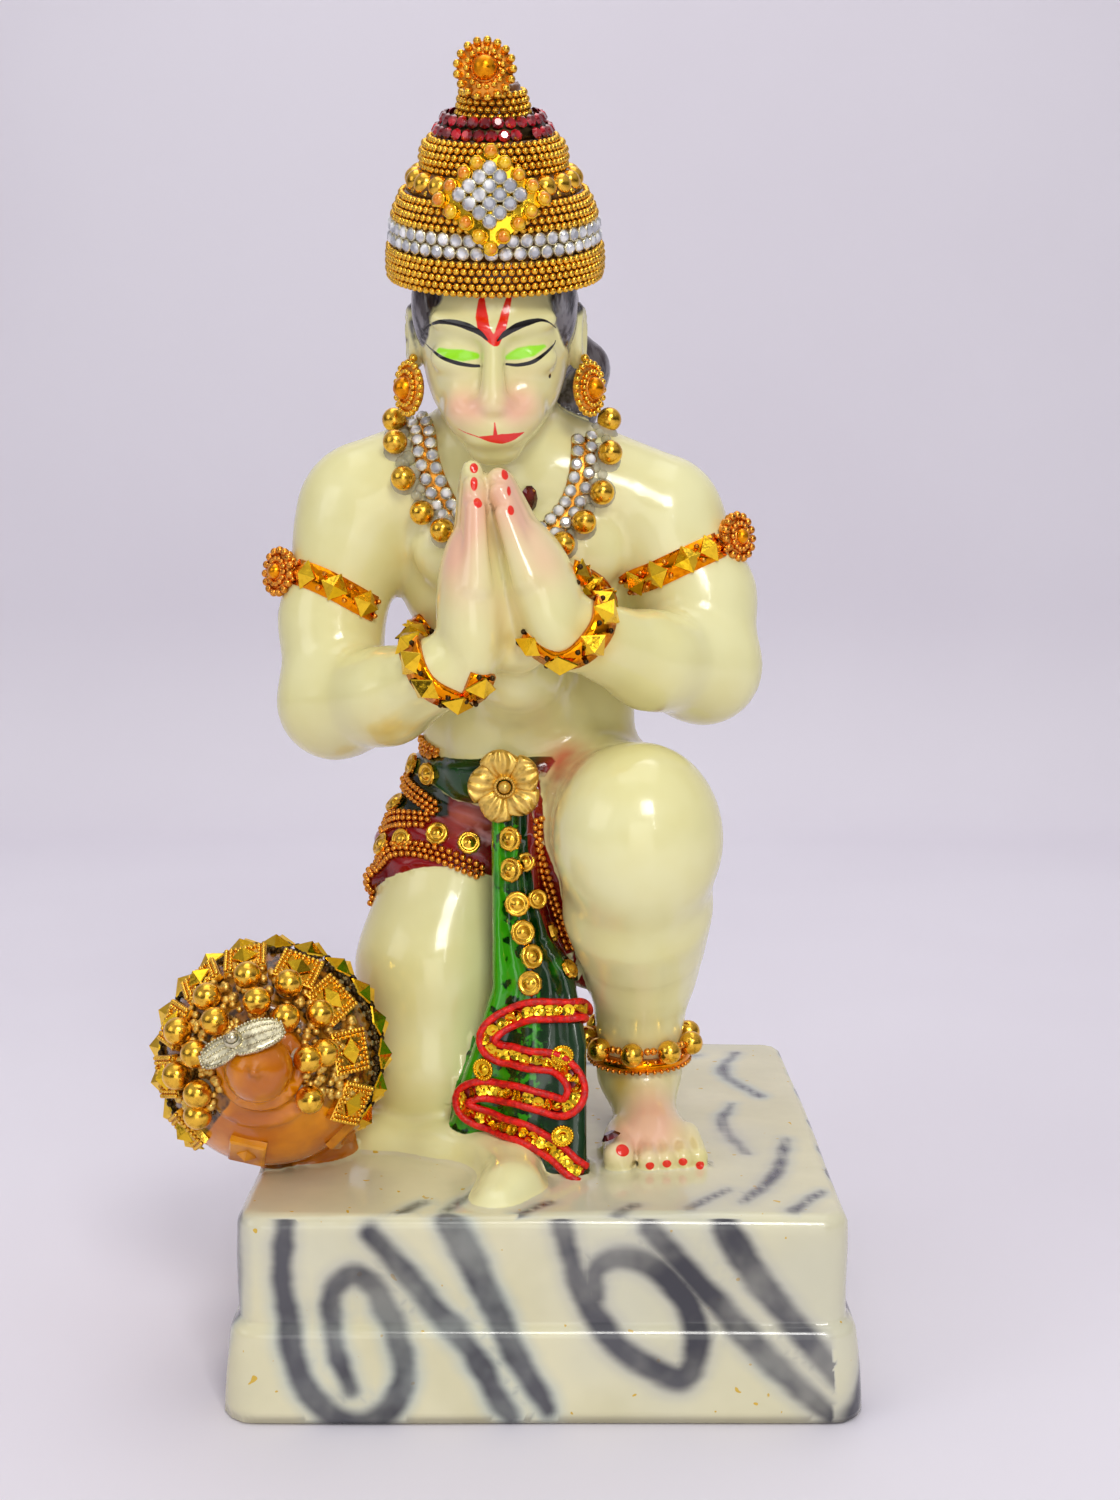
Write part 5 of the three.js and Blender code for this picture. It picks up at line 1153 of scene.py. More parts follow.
def block_shape(wide, deep, high, lift=0.0, bevel=0.25):
    def ring(grow, z):
        x, y = wide / 2 + grow, deep / 2 + grow
        return [(x, y, z), (-x, y, z), (-x, -y, z), (x, -y, z)]

    points = ring(0, lift) + ring(0, lift + high - bevel) + ring(-bevel, lift + high)
    faces = []
    for k in (0, 4):
        for i in range(4):
            j = (i + 1) % 4
            faces += [(k + i, k + j, k + 4 + j), (k + i, k + 4 + j, k + 4 + i)]
    faces += [(8, 9, 10), (8, 10, 11), (2, 1, 0), (3, 2, 0)]
    return np.array(points, float), np.array(faces)


def gem_shape(radius, high, lift, sides):
    """A cut stone's crown: a girdle, slanted facets and a table."""
    half = math.pi / sides
    table = 0.55 * radius
    low = [(radius * math.cos(a), radius * math.sin(a), lift) for a in around(sides)]
    top = [(table * math.cos(a + half), table * math.sin(a + half), lift + high) for a in around(sides)]
    points = low + top + [(0, 0, lift + high)]
    faces = []
    for i in range(sides):
        j = (i + 1) % sides
        faces += [(i, j, sides + i), (j, sides + j, sides + i), (sides + i, sides + j, 2 * sides)]
    return np.array(points, float), np.array(faces)


def gem_parts(radius, cup=0, stone=1, sides=8):
    """A stone in its cup, as pieces with the number of their look."""
    rim = lathe([(radius * 0.92, -0.2), (radius, 0.3), (radius * 0.98, 0.62 * radius),
                 (radius * 0.82, 0.68 * radius)], 10)
    return [(rim, cup, True), (gem_shape(radius * 0.86, 0.42 * radius, 0.6 * radius, sides), stone, False)]


def coin_parts(radius):
    """A milled edge and a face with rings round a boss."""
    def mill(i):
        return 1 if i % 2 else 0.93

    turns = 22
    edge = lathe([(radius, -0.25), (radius, 0.3), (radius * 0.9, 0.55)], turns, mill)
    rings = ((0.93, 0.45), (0.86, 0.62), (0.74, 0.6), (0.66, 0.4), (0.52, 0.42), (0.42, 0.62), (0.26, 0.92),
             (0, 1.02))
    return [(edge, 0, False), (lathe([(radius * a, b) for a, b in rings], turns), 0, True)]


def sheet(height_of, rows, cols):
    """A patch of triangles over a grid, and the numbers of its rim's points in order."""
    points = [height_of(u, v) for u in rows for v in cols]
    n, m = len(rows), len(cols)
    faces = []
    for k in (i * m + c for i in range(n - 1) for c in range(m - 1)):
        faces += [(k, k + m, k + m + 1), (k, k + m + 1, k + 1)]
    rim = [i * m for i in range(n)] + [(n - 1) * m + c for c in range(1, m)]
    rim += [i * m + m - 1 for i in range(n - 2, -1, -1)] + list(range(m - 2, 0, -1))
    return np.array(points), faces, rim


def walled(top, low, faces, rim):
    """A sheet with a second one below it, joined round the rim."""
    n = len(top)
    walls = []
    for a, b in zip(rim, rim[1:] + rim[:1]):
        walls += [(a, a + n, b + n), (a, b + n, b)]
    return np.concatenate([top, low]), np.array(faces + walls)


class Heap:
    """Small shapes gathered into one mesh."""

    def __init__(self):
        self.points, self.faces, self.looks, self.smooth, self.count = [], [], [], [], 0

    def add(self, shape, look=0, smooth=True):
        points, faces = shape
        self.points.append(np.asarray(points, float))
        self.faces.append(np.asarray(faces) + self.count)
        self.looks.append(np.full(len(faces), look))
        self.smooth.append(np.full(len(faces), smooth))
        self.count += len(points)

    def stamp(self, parts, origins, frames, scales=None):
        """Copies of a shape's parts at each origin, turned by its frame: rows along, across and out."""
        origins, frames = np.atleast_2d(origins), np.asarray(frames).reshape(-1, 3, 3)
        scales = np.ones(len(origins)) if scales is None else np.broadcast_to(scales, len(origins))
        for (points, faces), look, smooth in parts:
            placed = origins[:, None] + np.einsum("vi,kij->kvj", points, frames) * scales[:, None, None]
            index = faces[None] + len(points) * np.arange(len(origins))[:, None, None]
            self.add((placed.reshape(-1, 3), index.reshape(-1, 3)), look, smooth)

    def piece(self, name, materials, node):
        points, faces = np.concatenate(self.points), np.concatenate(self.faces)
        mesh = make(name, points, faces, None, node).data
        for material in materials:
            mesh.materials.append(material.material)
        if len(mesh.polygons) == len(faces):
            mesh.polygons.foreach_set("material_index", np.concatenate(self.looks).astype(np.int32))
            mesh.polygons.foreach_set("use_smooth", np.concatenate(self.smooth))
        else:
            print("faces lost in", name, len(faces) - len(mesh.polygons))
        mesh.update()


def frames_of(out, along):
    """Frames whose third row points outward and first row runs along."""
    out = out / np.linalg.norm(out, axis=1)[:, None]
    x = along - (along * out).sum(1)[:, None] * out
    x = x / np.maximum(np.linalg.norm(x, axis=1), 1e-9)[:, None]
    return np.stack([x, np.cross(out, x), out], 1)


def resample(path, spacing, closed=False, phase=0.0):
    """Points evenly along a path, from its start or from a share of a step past it."""
    p = np.asarray(path, float)
    if closed:
        p = np.concatenate([p, p[:1]])
    reach = np.concatenate([[0], np.cumsum(np.linalg.norm(np.diff(p, axis=0), axis=1))])
    n = max(int(round(reach[-1] / spacing)), 1)
    want = (np.arange(n) + phase) * reach[-1] / n if closed or phase else np.linspace(0, reach[-1], n + 1)
    return np.stack([np.interp(want, reach, p[:, k]) for k in range(3)], 1)


def tangents(p, closed=False):
    if closed:
        return np.roll(p, -1, 0) - np.roll(p, 1, 0)
    return np.gradient(p, axis=0)


def laid(points, spacing, field=body, lift=0.0, closed=False, offset=0.0, phase=0.0, wide=0.8):
    """Points on the body along a line, spaced evenly, with frames along it."""
    line = settle(curved(points) if not closed else points, field, 2)
    p = resample(line, spacing, closed, phase)
    out = slope(p, field, wide)
    if offset:
        side = np.cross(out, tangents(p, closed))
        p = p + side / np.linalg.norm(side, axis=1)[:, None] * offset
    p = settle(p, field, 2)
    out = slope(p, field, wide)
    return p + out * lift, frames_of(out, tangents(p, closed))


def tube(path, radius, sides, out):
    """A round cord along a path."""
    way = tangents(path)
    way /= np.linalg.norm(way, axis=1)[:, None]
    side = np.cross(way, out)
    side /= np.linalg.norm(side, axis=1)[:, None]
    up = np.cross(side, way)
    a = around(sides)
    ring = np.cos(a)[None, :, None] * side[:, None] + np.sin(a)[None, :, None] * up[:, None]
    points = (path[:, None] + ring * radius).reshape(-1, 3)
    faces = []
    for i in range(0, (len(path) - 1) * sides, sides):
        for j in range(sides):
            k = (j + 1) % sides
            faces += [(i + j, i + sides + k, i + k), (i + j, i + sides + j, i + sides + k)]
    last = (len(path) - 1) * sides
    for j in range(1, sides - 1):
        faces += [(0, j, j + 1), (last, last + j + 1, last + j)]
    return points, np.array(faces)


def ribbon(p, frames, half, low, high, closed=False, swell=0.0):
    """A flat band under a row of trims."""
    side, out = frames[:, 1], frames[:, 2]
    n = len(p)
    corners = [(-half, low), (-half * 0.92, high), (0, high + swell), (half * 0.92, high), (half, low)]
    points = np.concatenate([p + side * a + out * b for a, b in corners])
    faces, m = [], len(corners)
    for i in range(n if closed else n - 1):
        j = (i + 1) % n
        for k in range(m):
            here, after = k * n, (k + 1) % m * n
            faces += [(here + i, after + i, after + j), (here + i, after + j, here + j)]
    if not closed:
        for k in range(1, m - 1):
            faces += [(0, (k + 1) * n, k * n), (n - 1, k * n + n - 1, (k + 1) * n + n - 1)]
    return points, np.array(faces)


def jitter(count, amount, seed):
    return 1 + amount * np.random.default_rng(seed).uniform(-1, 1, count)


# Looks of the trims
def gold_look(name, color, dark, rough=0.22, grime=0.5):
    """Plated metal with darker grime in random patches, from two display colours."""
    s = Shade(name, roughness=rough, metallic=1.0)
    s.set("Base Color", s.mix(s.rise(s.noise(900, 3), 0.45, 0.75, 0, grime), linear(*color), linear(*dark)))
    s.set("Roughness", s.rise(s.noise(1530, 2), 0.3, 0.7, rough * 0.7, rough * 1.5))
    s.bump(s.noise(720, 2), 0.0002, 0.35)
    return s


def stone_look(name, color, dark, metallic, rough=0.08):
    """A cut stone under a gloss, in cells of two display colours."""
    s = Shade(name, roughness=rough, metallic=metallic)
    s.set("Base Color", s.mix(s.rise(s.cells(420), 0.2, 0.7), linear(*color), linear(*dark)))
    s.set("Coat Weight", 0.6)
    return s


def mottled_look(name, rough, scale, detail, spread, color, dark):
    s = Shade(name, roughness=rough)
    s.set("Base Color", s.mix(s.rise(s.noise(scale, detail), *spread), linear(*color), linear(*dark)))
    return s


GOLD = gold_look("gold_metal", (250, 196, 70), (150, 84, 16), 0.2)
COPPER_GOLD = gold_look("copper_gold", (240, 160, 62), (120, 58, 14), 0.25, 0.7)
ORANGE_GOLD = gold_look("orange_gold", (250, 160, 24), (176, 84, 8), 0.28)
MATTE_GOLD = gold_look("matte_gold", (236, 198, 104), (140, 96, 34), 0.4)
LEMON_GOLD = gold_look("lemon_gold", (254, 206, 50), (196, 140, 24), 0.14, 0.4)
AMBER_BAND = gold_look("amber_band", (250, 150, 10), (190, 80, 4), 0.12, 0.6)
SILVER_GOLD = gold_look("silver_gold", (226, 218, 186), (120, 100, 64), 0.3, 0.6)
DARK_METAL = gold_look("dark_metal", (74, 58, 36), (30, 22, 12), 0.35)
CLEAR_STONE = stone_look("clear_stones", (254, 254, 255), (176, 178, 186), 0.12, 0.05)
RED_STONE = stone_look("red_stones", (206, 6, 34), (110, 2, 16), 0.1)
DARK_STONE = stone_look("dark_stone", (120, 2, 20), (60, 0, 10), 0.2)
AMBER_STONE = stone_look("amber_stones", (255, 204, 24), (240, 140, 6), 0.2)
GLUE = mottled_look("clear_glue", 0.12, 300, 2, (0.3, 0.7), (214, 212, 192), (170, 166, 140))
GLUE.set("Alpha", 0.55)
BROWN_GLUE = mottled_look("brown_glue", 0.25, 500, 3, (0.35, 0.7), (110, 72, 34), (52, 34, 20))
MACE_PAINT = mottled_look("mace_paint", 0.25, 160, 3, (0.35, 0.7), (170, 96, 12), (222, 146, 16))
RED_CORD = mottled_look("red_cord", 0.3, 900, 2, (0.35, 0.65), (246, 20, 6), (190, 6, 8))
RED_CORD.bump(RED_CORD.noise(2600, 2, RED_CORD.place((1, 1, 1), (0.6, 0.4, 0.2))), 0.0003, 0.7)
DEEP_RED = mottled_look("deep_red", 0.3, 700, 3, (0.4, 0.6), (190, 12, 8), (90, 2, 6))


# The crown
SIDE_X = np.array([1.0, 0, 0])
UPRIGHT = np.array([0, 0, 1.0])
# each beaded chain: its node, then its rows' heights, their outer radii, and the balls' radius
CROWN_CHAINS = {
    "brim_chain": ((-0.2, 1.0, 2.2, 3.4, 4.5), (18.9, 19.1, 19.1, 19.0, 18.9), 0.64),
    "middle_chain": ((9.9, 11.1, 12.3, 13.4), (17.9, 17.5, 17.0, 16.4), 0.64),
    "upper_chain": ((18.0, 19.2, 20.3, 21.4, 22.3), (12.8, 12.9, 12.7, 12.2, 11.3), 0.62),
    "top_chain": ((26.2, 27.3, 28.4, 29.5), (6.6, 6.4, 6.2, 5.9), 0.6),
}
DOME_COUNT = 22
# a red stone is missing this far round from the front
MISSING_STONE = 0.72
# the brooch in the picture's frame: its amber stones, its middle, its clear stones' steps, and its plate
BROOCH_RIM = [(491, 152), (478, 164), (504, 164), (466, 174), (517, 176), (453, 187), (530, 187), (442, 200),
              (541, 199), (453, 212), (529, 212), (467, 223), (517, 224), (480, 237), (503, 237), (491, 249)]
BROOCH_MIDDLE = (490, 196)
BROOCH_STEP = (9.3, 8.9)
BROOCH_PLATE = [(490, 147), (518, 173), (546, 200), (518, 227), (490, 254), (463, 227), (436, 200), (463, 173),
                (490, 200)]


def crown_spots(radius, height, angles, lean=0.0):
    """Places round the crown's axis, from its front, with frames facing out."""
    flat = np.outer(np.sin(angles), SIDE_X) + np.outer(np.cos(angles), FORWARD)
    along = np.outer(np.cos(angles), SIDE_X) - np.outer(np.sin(angles), FORWARD)
    p = CROWN_BASE + flat * radius + UPWARD * height
    return p, frames_of(flat * math.cos(lean) + UPWARD * math.sin(lean), along)


def crown_lathe(heap, profile, turns, look, waver=0.0, seed=1):
    """A ring of filling round the crown, from (radius, height) pairs, lowest first."""
    bumps = jitter(turns, waver, seed)
    points, faces = lathe(profile, turns, lambda i: bumps[i])
    heap.add((CROWN_BASE + points @ np.stack([SIDE_X, FORWARD, UPWARD]), faces[:, ::-1]), look)


def make_crown_chains():
    for number, (name, (heights, outer, r)) in enumerate(CROWN_CHAINS.items()):
        heap = Heap()
        bead = [(ball_shape(r, 12, 7, -0.95), 0, True)]
        for row, (h, far) in enumerate(zip(heights, outer)):
            middle = far - r
            count = int(2 * math.pi * middle / (2 * r * 1.02))
            p, frames = crown_spots(middle, h, around(count, 0.5 * (row % 2)), 0.1)
            uneven = np.random.default_rng(row + 9 * number).uniform(-0.06, 0.1, count)
            heap.stamp(bead, p + frames[:, 2] * uneven[:, None], frames)
        low, high = heights[0] - r, heights[-1] + r
        back = [(crown_radius(h) - 0.2, h) for h in (low, high)]
        front = [(np.interp(h, heights, outer) - r * 1.25, h) for h in (low + 0.3, high - 0.3)]
        crown_lathe(heap, [back[0], front[0], front[1], back[1]], 72, 1, 0.006, number)
        heap.piece("crown_" + name, [GOLD, BROWN_GLUE], "crown_" + name)


def make_crown_stones():
    heap = Heap()
    for row, (h, middle) in enumerate(((6.2, 17.3), (8.25, 17.1))):
        count = int(2 * math.pi * (middle + 0.6) / 2.35)
        heap.stamp(gem_parts(1.2), *crown_spots(middle, h, around(count, 0.5 * row), 0.08))
    crown_lathe(heap, [(16.8, 5.1), (17.6, 5.1), (17.4, 9.3), (16.4, 9.3)], 90, 2)
    heap.piece("crown_clear_stones", [SILVER_GOLD, CLEAR_STONE, BROWN_GLUE], "crown_stone_band")

    heap = Heap()
    p, frames = crown_spots(13.3, 15.6, around(DOME_COUNT, 0.5), 0.25)
    heap.stamp([(ball_shape(1.98, 18, 9, -0.3), 0, True)], p, frames, jitter(DOME_COUNT, 0.05, 3))
    heap.stamp([(ball_shape(0.7, 10, 6, -0.9), 0, True)], *crown_spots(14.3, 14.4, around(DOME_COUNT), 0.1))
    filling = [(13.9, 13.6), (15.0, 14.0), (14.4, 15.4), (13.2, 17.0), (12.0, 17.6), (11.4, 17.6)]
    crown_lathe(heap, filling, 104, 1, 0.012, 5)
    heap.piece("crown_domes", [GOLD, BROWN_GLUE], "crown_dome_row")

    heap = Heap()
    for row, (h, middle) in enumerate(((23.4, 9.1), (25.3, 7.8))):
        angles = around(int(2 * math.pi * (middle + 0.9) / 2.15), 0.5 * row)
        if row == 0:
            past = (angles - MISSING_STONE + math.pi) % (2 * math.pi) - math.pi
            angles = angles[np.abs(past) > 0.12]
        heap.stamp(gem_parts(1.24)[1:], *crown_spots(middle, h, angles, 0.5))
    crown_lathe(heap, [(8.3, 22.5), (9.4, 22.5), (9.0, 24.2), (7.4, 25.7), (5.2, 25.8)], 60, 2)
    heap.piece("crown_red_stones", [COPPER_GOLD, RED_STONE, DARK_METAL], "crown_red_band")


def brooch_shell(p):
    """The cone that the brooch lies on."""
    q = p - CROWN_BASE
    return (np.hypot(q[:, 0], q @ FORWARD) - (19.7 - 0.3 * (q @ UPWARD - 4.3))) * 0.96


def make_brooch():
    """Sixteen amber stones round four rows of clear ones, on a plate."""
    heap = Heap()

    def laid_on(pixels, along):
        p = seen(pixels, brooch_shell)
        out = slope(p, brooch_shell, 0.5)
        return p, out, frames_of(out, np.tile(along, (len(p), 1)))

    p, out, frames = laid_on(BROOCH_RIM, SIDE_X)
    amber = [gem_parts(1.3)[0], (ball_shape(1.12, 12, 6, 0.0, 0.5), 1, True)]
    heap.stamp(amber, p + out * 0.4, frames)
    steps = (-1.5, -0.5, 0.5, 1.5)
    grid = [BROOCH_MIDDLE + np.multiply(BROOCH_STEP, (i - j, i + j)) for i in steps for j in steps]
    p, out, frames = laid_on(grid, SIDE_X + 0.95 * UPWARD)
    heap.stamp(gem_parts(1.24, 3, 2), p + out, frames)
    plate, out, _ = laid_on(BROOCH_PLATE, SIDE_X)
    n = len(plate)
    faces = []
    for a in range(n - 1):
        b = (a + 1) % (n - 1)
        faces += [(n - 1, b, a), (2 * n - 1, a + n, b + n), (a, b, b + n), (a, b + n, a + n)]
    heap.add((np.concatenate([plate + out * 0.55, plate - out * 0.9]), np.array(faces)), 0, False)
    heap.piece("crown_brooch_stones", [LEMON_GOLD, AMBER_STONE, CLEAR_STONE, SILVER_GOLD], "crown_brooch")


def rosette_parts(radius, beads, bead, inner, dome, tall=1.0):
    """A ring of balls round a smaller ring and a dome, on a thin plate."""
    plate = [(radius * 0.9, -0.5), (radius * 1.02, 0), (radius * 0.98, 0.5), (radius * 0.5, 0.9 * tall),
             (0, 0.9 * tall)]
    parts = [(lathe(plate, 24), 2, True)]
    parts += ring_of(ball_shape(bead, 12, 7, -0.95), beads, radius, bead * 0.55 + 0.2, 0)
    between = dome + (radius - bead - dome) * 0.5
    parts += ring_of(ball_shape(bead * 0.8, 8, 5, -0.9), inner, between, tall, 0, 0.5)
    collar = [(dome * 1.1, 0.5 * tall), (dome * 1.16, 1.1 * tall), (dome, 1.3 * tall)]
    return parts + [(lathe(collar, 20), 2, True), (ball_shape(dome, 18, 8, -0.2, 1.15 * tall), 1, True)]


FINIAL = (485, 70)
EARRINGS = {"right": (-1, (-22.9, -9.0, 134.8)), "left": (1, (7.1, -9.0, 134.8))}


def make_rosettes():
    heap = Heap()
    out = unit_of(FORWARD + 0.42 * UPWARD)
    middle = CROWN_BASE + UPWARD * 31.5 + FORWARD * 6.6
    p = seen([FINIAL], lambda q: (q - middle) @ out)
    frame = frames_of(out[None], SIDE_X[None])
    heap.stamp(rosette_parts(4.6, 17, 0.72, 15, 2.1), p, frame)
    heap.stamp([(lathe([(4.2, -2.2), (4.6, -0.6), (4.2, 0.2), (0, 0.2)], 24), 2, True)], p, frame)
    heap.piece("crown_finial", [GOLD, ORANGE_GOLD, COPPER_GOLD], "crown_rosette")
    for name, (side, at) in EARRINGS.items():
        heap = Heap()
        out = unit_of((side * 0.84, -0.54, 0.0))
        frame = frames_of(out[None], UPRIGHT[None])
        heap.stamp(rosette_parts(4.4, 20, 0.62, 18, 2.0, 1.1), [np.array(at) + out * 0.5], frame)
        heap.stamp([(ball_shape(0.8, 10, 6, -0.95), 0, True)], [np.array(at) + [0, 0, 5.2]], frame)
        heap.piece("earring_%s_rosette" % name, [GOLD, ORANGE_GOLD, COPPER_GOLD], "earring_" + name)


# Necklace, armlets and bracelets
# in the picture's frame: the strip's two sides and the balls beside it, from the viewer's left
STRIP_LEFT = [(416, 422), (424, 432), (426, 454), (433, 478), (442, 498), (452, 516)]
STRIP_RIGHT = [(563, 520), (575, 497), (581, 475), (583, 455), (583, 431)]
BALLS_LEFT = [(398, 430), (398, 449), (405, 480), (424, 510), (445, 534)]
BALLS_RIGHT = [(563, 545), (582, 526), (601, 493), (607, 459), (605, 430)]
# behind the hands, in millimetres: the strip's foot and three balls under it
STRIP_FOOT = [(-13, -12, 107.5), (-8, -12.5, 106), (-3, -12, 107.5)]
BALLS_HIDDEN = [(-13.2, -10.5, 106.6), (-8.4, -11, 104.3), (-2.6, -10.6, 105.6)]
NECK = (-7.8, -8, 118)
# what a ray meets beyond this depth is past the neck
NECK_DEPTH = 12


def before(points, depth):
    """The points nearer than a depth, which drops rays that passed the body by."""
    return points[points[:, 1] < depth]


def make_necklace():
    left, right = (before(seen(curved(side), chest), NECK_DEPTH) for side in (STRIP_LEFT, STRIP_RIGHT))
    middle = curved([left[-1], *STRIP_FOOT, right[0]])
    line = settle(np.concatenate([left[:-1], middle, right[1:]]), chest, 2)[::4]
    heap = Heap()
    heap.add(ribbon(*laid(line, 1.6, field=chest, wide=1.2), 2.2, 0.1, 0.6), 2)
    for offset, phase in ((-1.2, 0.0), (1.2, 0.5)):
        heap.stamp(gem_parts(1.14), *laid(line, 2.32, chest, 0.62, offset=offset, phase=phase, wide=1.2))
    heap.piece("necklace_stones", [SILVER_GOLD, CLEAR_STONE, COPPER_GOLD], "necklace_strip")

    at = np.concatenate([seen(BALLS_LEFT, chest), BALLS_HIDDEN, seen(BALLS_RIGHT, chest)])
    at = settle(before(at, NECK_DEPTH), chest, 3)
    heap = Heap()
    bed = lathe([(2.7, -0.1), (2.3, 0.35), (1.7, 0.9), (1.4, 1.0)], 16)
    heap.stamp([(ball_shape(2.2, 20, 11, -0.97, 2.05), 0, True), (bed, 1, True)], at,
               frames_of(slope(at, chest, 1.0), tangents(at)))
    for share, reach in ((0.5, 0.0), (0.3, 1.4), (0.75, 1.6)):
        drop = at[1:] * share + at[:-1] * (1 - share)
        inward = NECK - drop
        drop = settle(drop + inward / np.linalg.norm(inward, axis=1)[:, None] * (0.4 + reach), chest, 2)
        frames = frames_of(slope(drop, chest, 1.0), tangents(drop))
        heap.stamp([(ball_shape(1.1, 12, 6, -0.3, 0.35), 1, True)], drop, frames, jitter(len(drop), 0.25, 8))
    heap.piece("necklace_balls", [GOLD, GLUE], "necklace_beads")


def pyramid_row(heap, path, size, high, half, lean=(0, 0, 0)):
    """Square pyramids corner to corner on a shiny band, with small balls between."""
    line = resample(path, 1.2)
    frames = frames_of(slope(line, body, 1.6) + np.asarray(lean, float), tangents(line))
    heap.add(ribbon(line + frames[:, 2] * 0.15, frames, half, -0.7, 0.35), 1)

    def nearest(spots):
        return np.argmin(np.linalg.norm(spots[:, None] - line[None], axis=2), 1)

    k = nearest(resample(path, size, False, 0.5))
    heap.stamp([(pyramid_shape(size, size * 0.98, high, 0.5, 0.25), 0, False)], line[k], frames[k])
    k = nearest(resample(path, size))
    for side in (-1, 1):
        between = line[k] + frames[k, 1] * side * half * 0.55
        heap.stamp([(ball_shape(0.5, 8, 5, -0.8, 0.75), 2, True)], between, frames[k])


# In the picture's frame, the band's line across each arm and the rosette beside it. Then the way the
# rosette faces, and the place on the arm that it lies on.
ARMLETS = {
    "right": ([(298, 572), (317, 579), (338, 589), (363, 603), (374, 609)], (281, 572),
              (-0.72, -0.68, 0.12), (-45.1, -3.6, 103.0)),
    "left": ([(626, 585), (652, 576), (680, 563), (706, 551), (719, 545)], (736, 537),
             (0.72, -0.68, 0.12), (31.7, -5.1, 108.8)),
}
BRACELETS = {
    "right": [(428, 624), (414, 632), (410, 650), (424, 684), (451, 700), (473, 697), (484, 675)],
    "left": [(575, 574), (600, 593), (604, 624), (584, 652), (560, 662), (542, 654), (523, 635)],
}
WRIST_DEPTH = 40


def make_armlets():
    for side, (pixels, centre, out, under) in ARMLETS.items():
        heap = Heap()
        pyramid_row(heap, settle(seen(curved(pixels), body), body, 2), 5.5, 1.9, 2.5)
        heap.piece("armlet_%s_pyramids" % side, [LEMON_GOLD, AMBER_BAND, COPPER_GOLD], "armlet_" + side)
        heap = Heap()
        under, out = settle([under], body, 3)[0], unit_of(out)
        at = seen([centre], lambda q: (q - under - out * 0.9) @ out)
        frame = frames_of(out[None], UPRIGHT[None])
        second = [(moved(shape, (0, 0, -0.9)), look, smooth)
                  for shape, look, smooth in rosette_parts(3.6, 15, 0.72, 0, 1.3)[1:16]]
        heap.stamp(rosette_parts(3.85, 15, 0.78, 14, 1.5), at, frame)
        heap.stamp(second, at, frames_of(out[None], np.array([[0.1, 0, 1.0]])))
        heap.stamp([(lathe([(3.2, -2.4), (3.6, -0.8), (0, -0.2)], 20), 2, True)], at, frame)
        heap.piece("armlet_%s_flower" % side, [COPPER_GOLD, ORANGE_GOLD, COPPER_GOLD], "armlet_rosette_" + side)


def make_bracelets():
    for side, pixels in BRACELETS.items():
        heap = Heap()
        path = settle(before(seen(curved(pixels), body), WRIST_DEPTH), body, 2)
        pyramid_row(heap, path, 5.9, 2.1, 2.4, (0, -0.25, -0.55))
        heap.piece("bracelet_%s_pyramids" % side, [LEMON_GOLD, AMBER_BAND, DARK_METAL], "bracelet_" + side)


# The waist's flower, chains and coins
FRONT = np.array([[[1.0, 0, 0], [0, 0, 1.0], [0, -1.0, 0]]])
FLOWER = (505, 785)
PETALS = 5
# chains on the cloth: points across and up, and the rows of balls
CHAINS = {
    "waist_chain_right": ([(-24.6, 71.4), (-22.4, 70.4), (-19.6, 69.0)], 3),
    "hip_chain_upper": ([(-27.6, 64.2), (-24.6, 62.6), (-22, 61.2), (-19.4, 59.8)], 3),
    "hip_chain_lower": ([(-31, 55), (-28.6, 56.6), (-25.4, 57.6), (-21.2, 57.6)], 3),
    "hem_chain": ([(-33.6, 40.6), (-33, 45), (-29.9, 50.2), (-25, 52.4), (-19, 52.0), (-13.8, 49.9),
                   (-11.4, 48.6)], 3),
    "drape_chain": ([(-0.6, 60), (-1.0, 57.4), (-0.9, 53.8), (0.2, 49.8), (1.3, 46.5), (2.6, 42.5),
                     (3.7, 39), (4.8, 36)], 2),
}
# coins by node name: places across and up, and the radius
COINS = {
    "sash_stud_": ([(-5.9, 56.3), (-5.7, 50.9), (-4.8, 45), (-3.9, 40.1), (-2.4, 35.9), (-2.4, 31.4)], 2.3),
    "drape_stud_": ([(-3.2, 52), (-1.4, 45.8), (1.1, 39.6), (4.2, 33.4)], 1.85),
    "hip_coin_": ([(-13.7, 54), (-19.4, 55.5), (-26.1, 53.8), (-30, 52.4), (-27.7, 59.5), (-24.5, 66.8),
                   (-21.2, 65.9)], 2.2),
}
CHAIN_BALL = 0.62
CHAIN_PITCH = 1.22
IN_FRONT = -60
HIP_DEPTH = 3


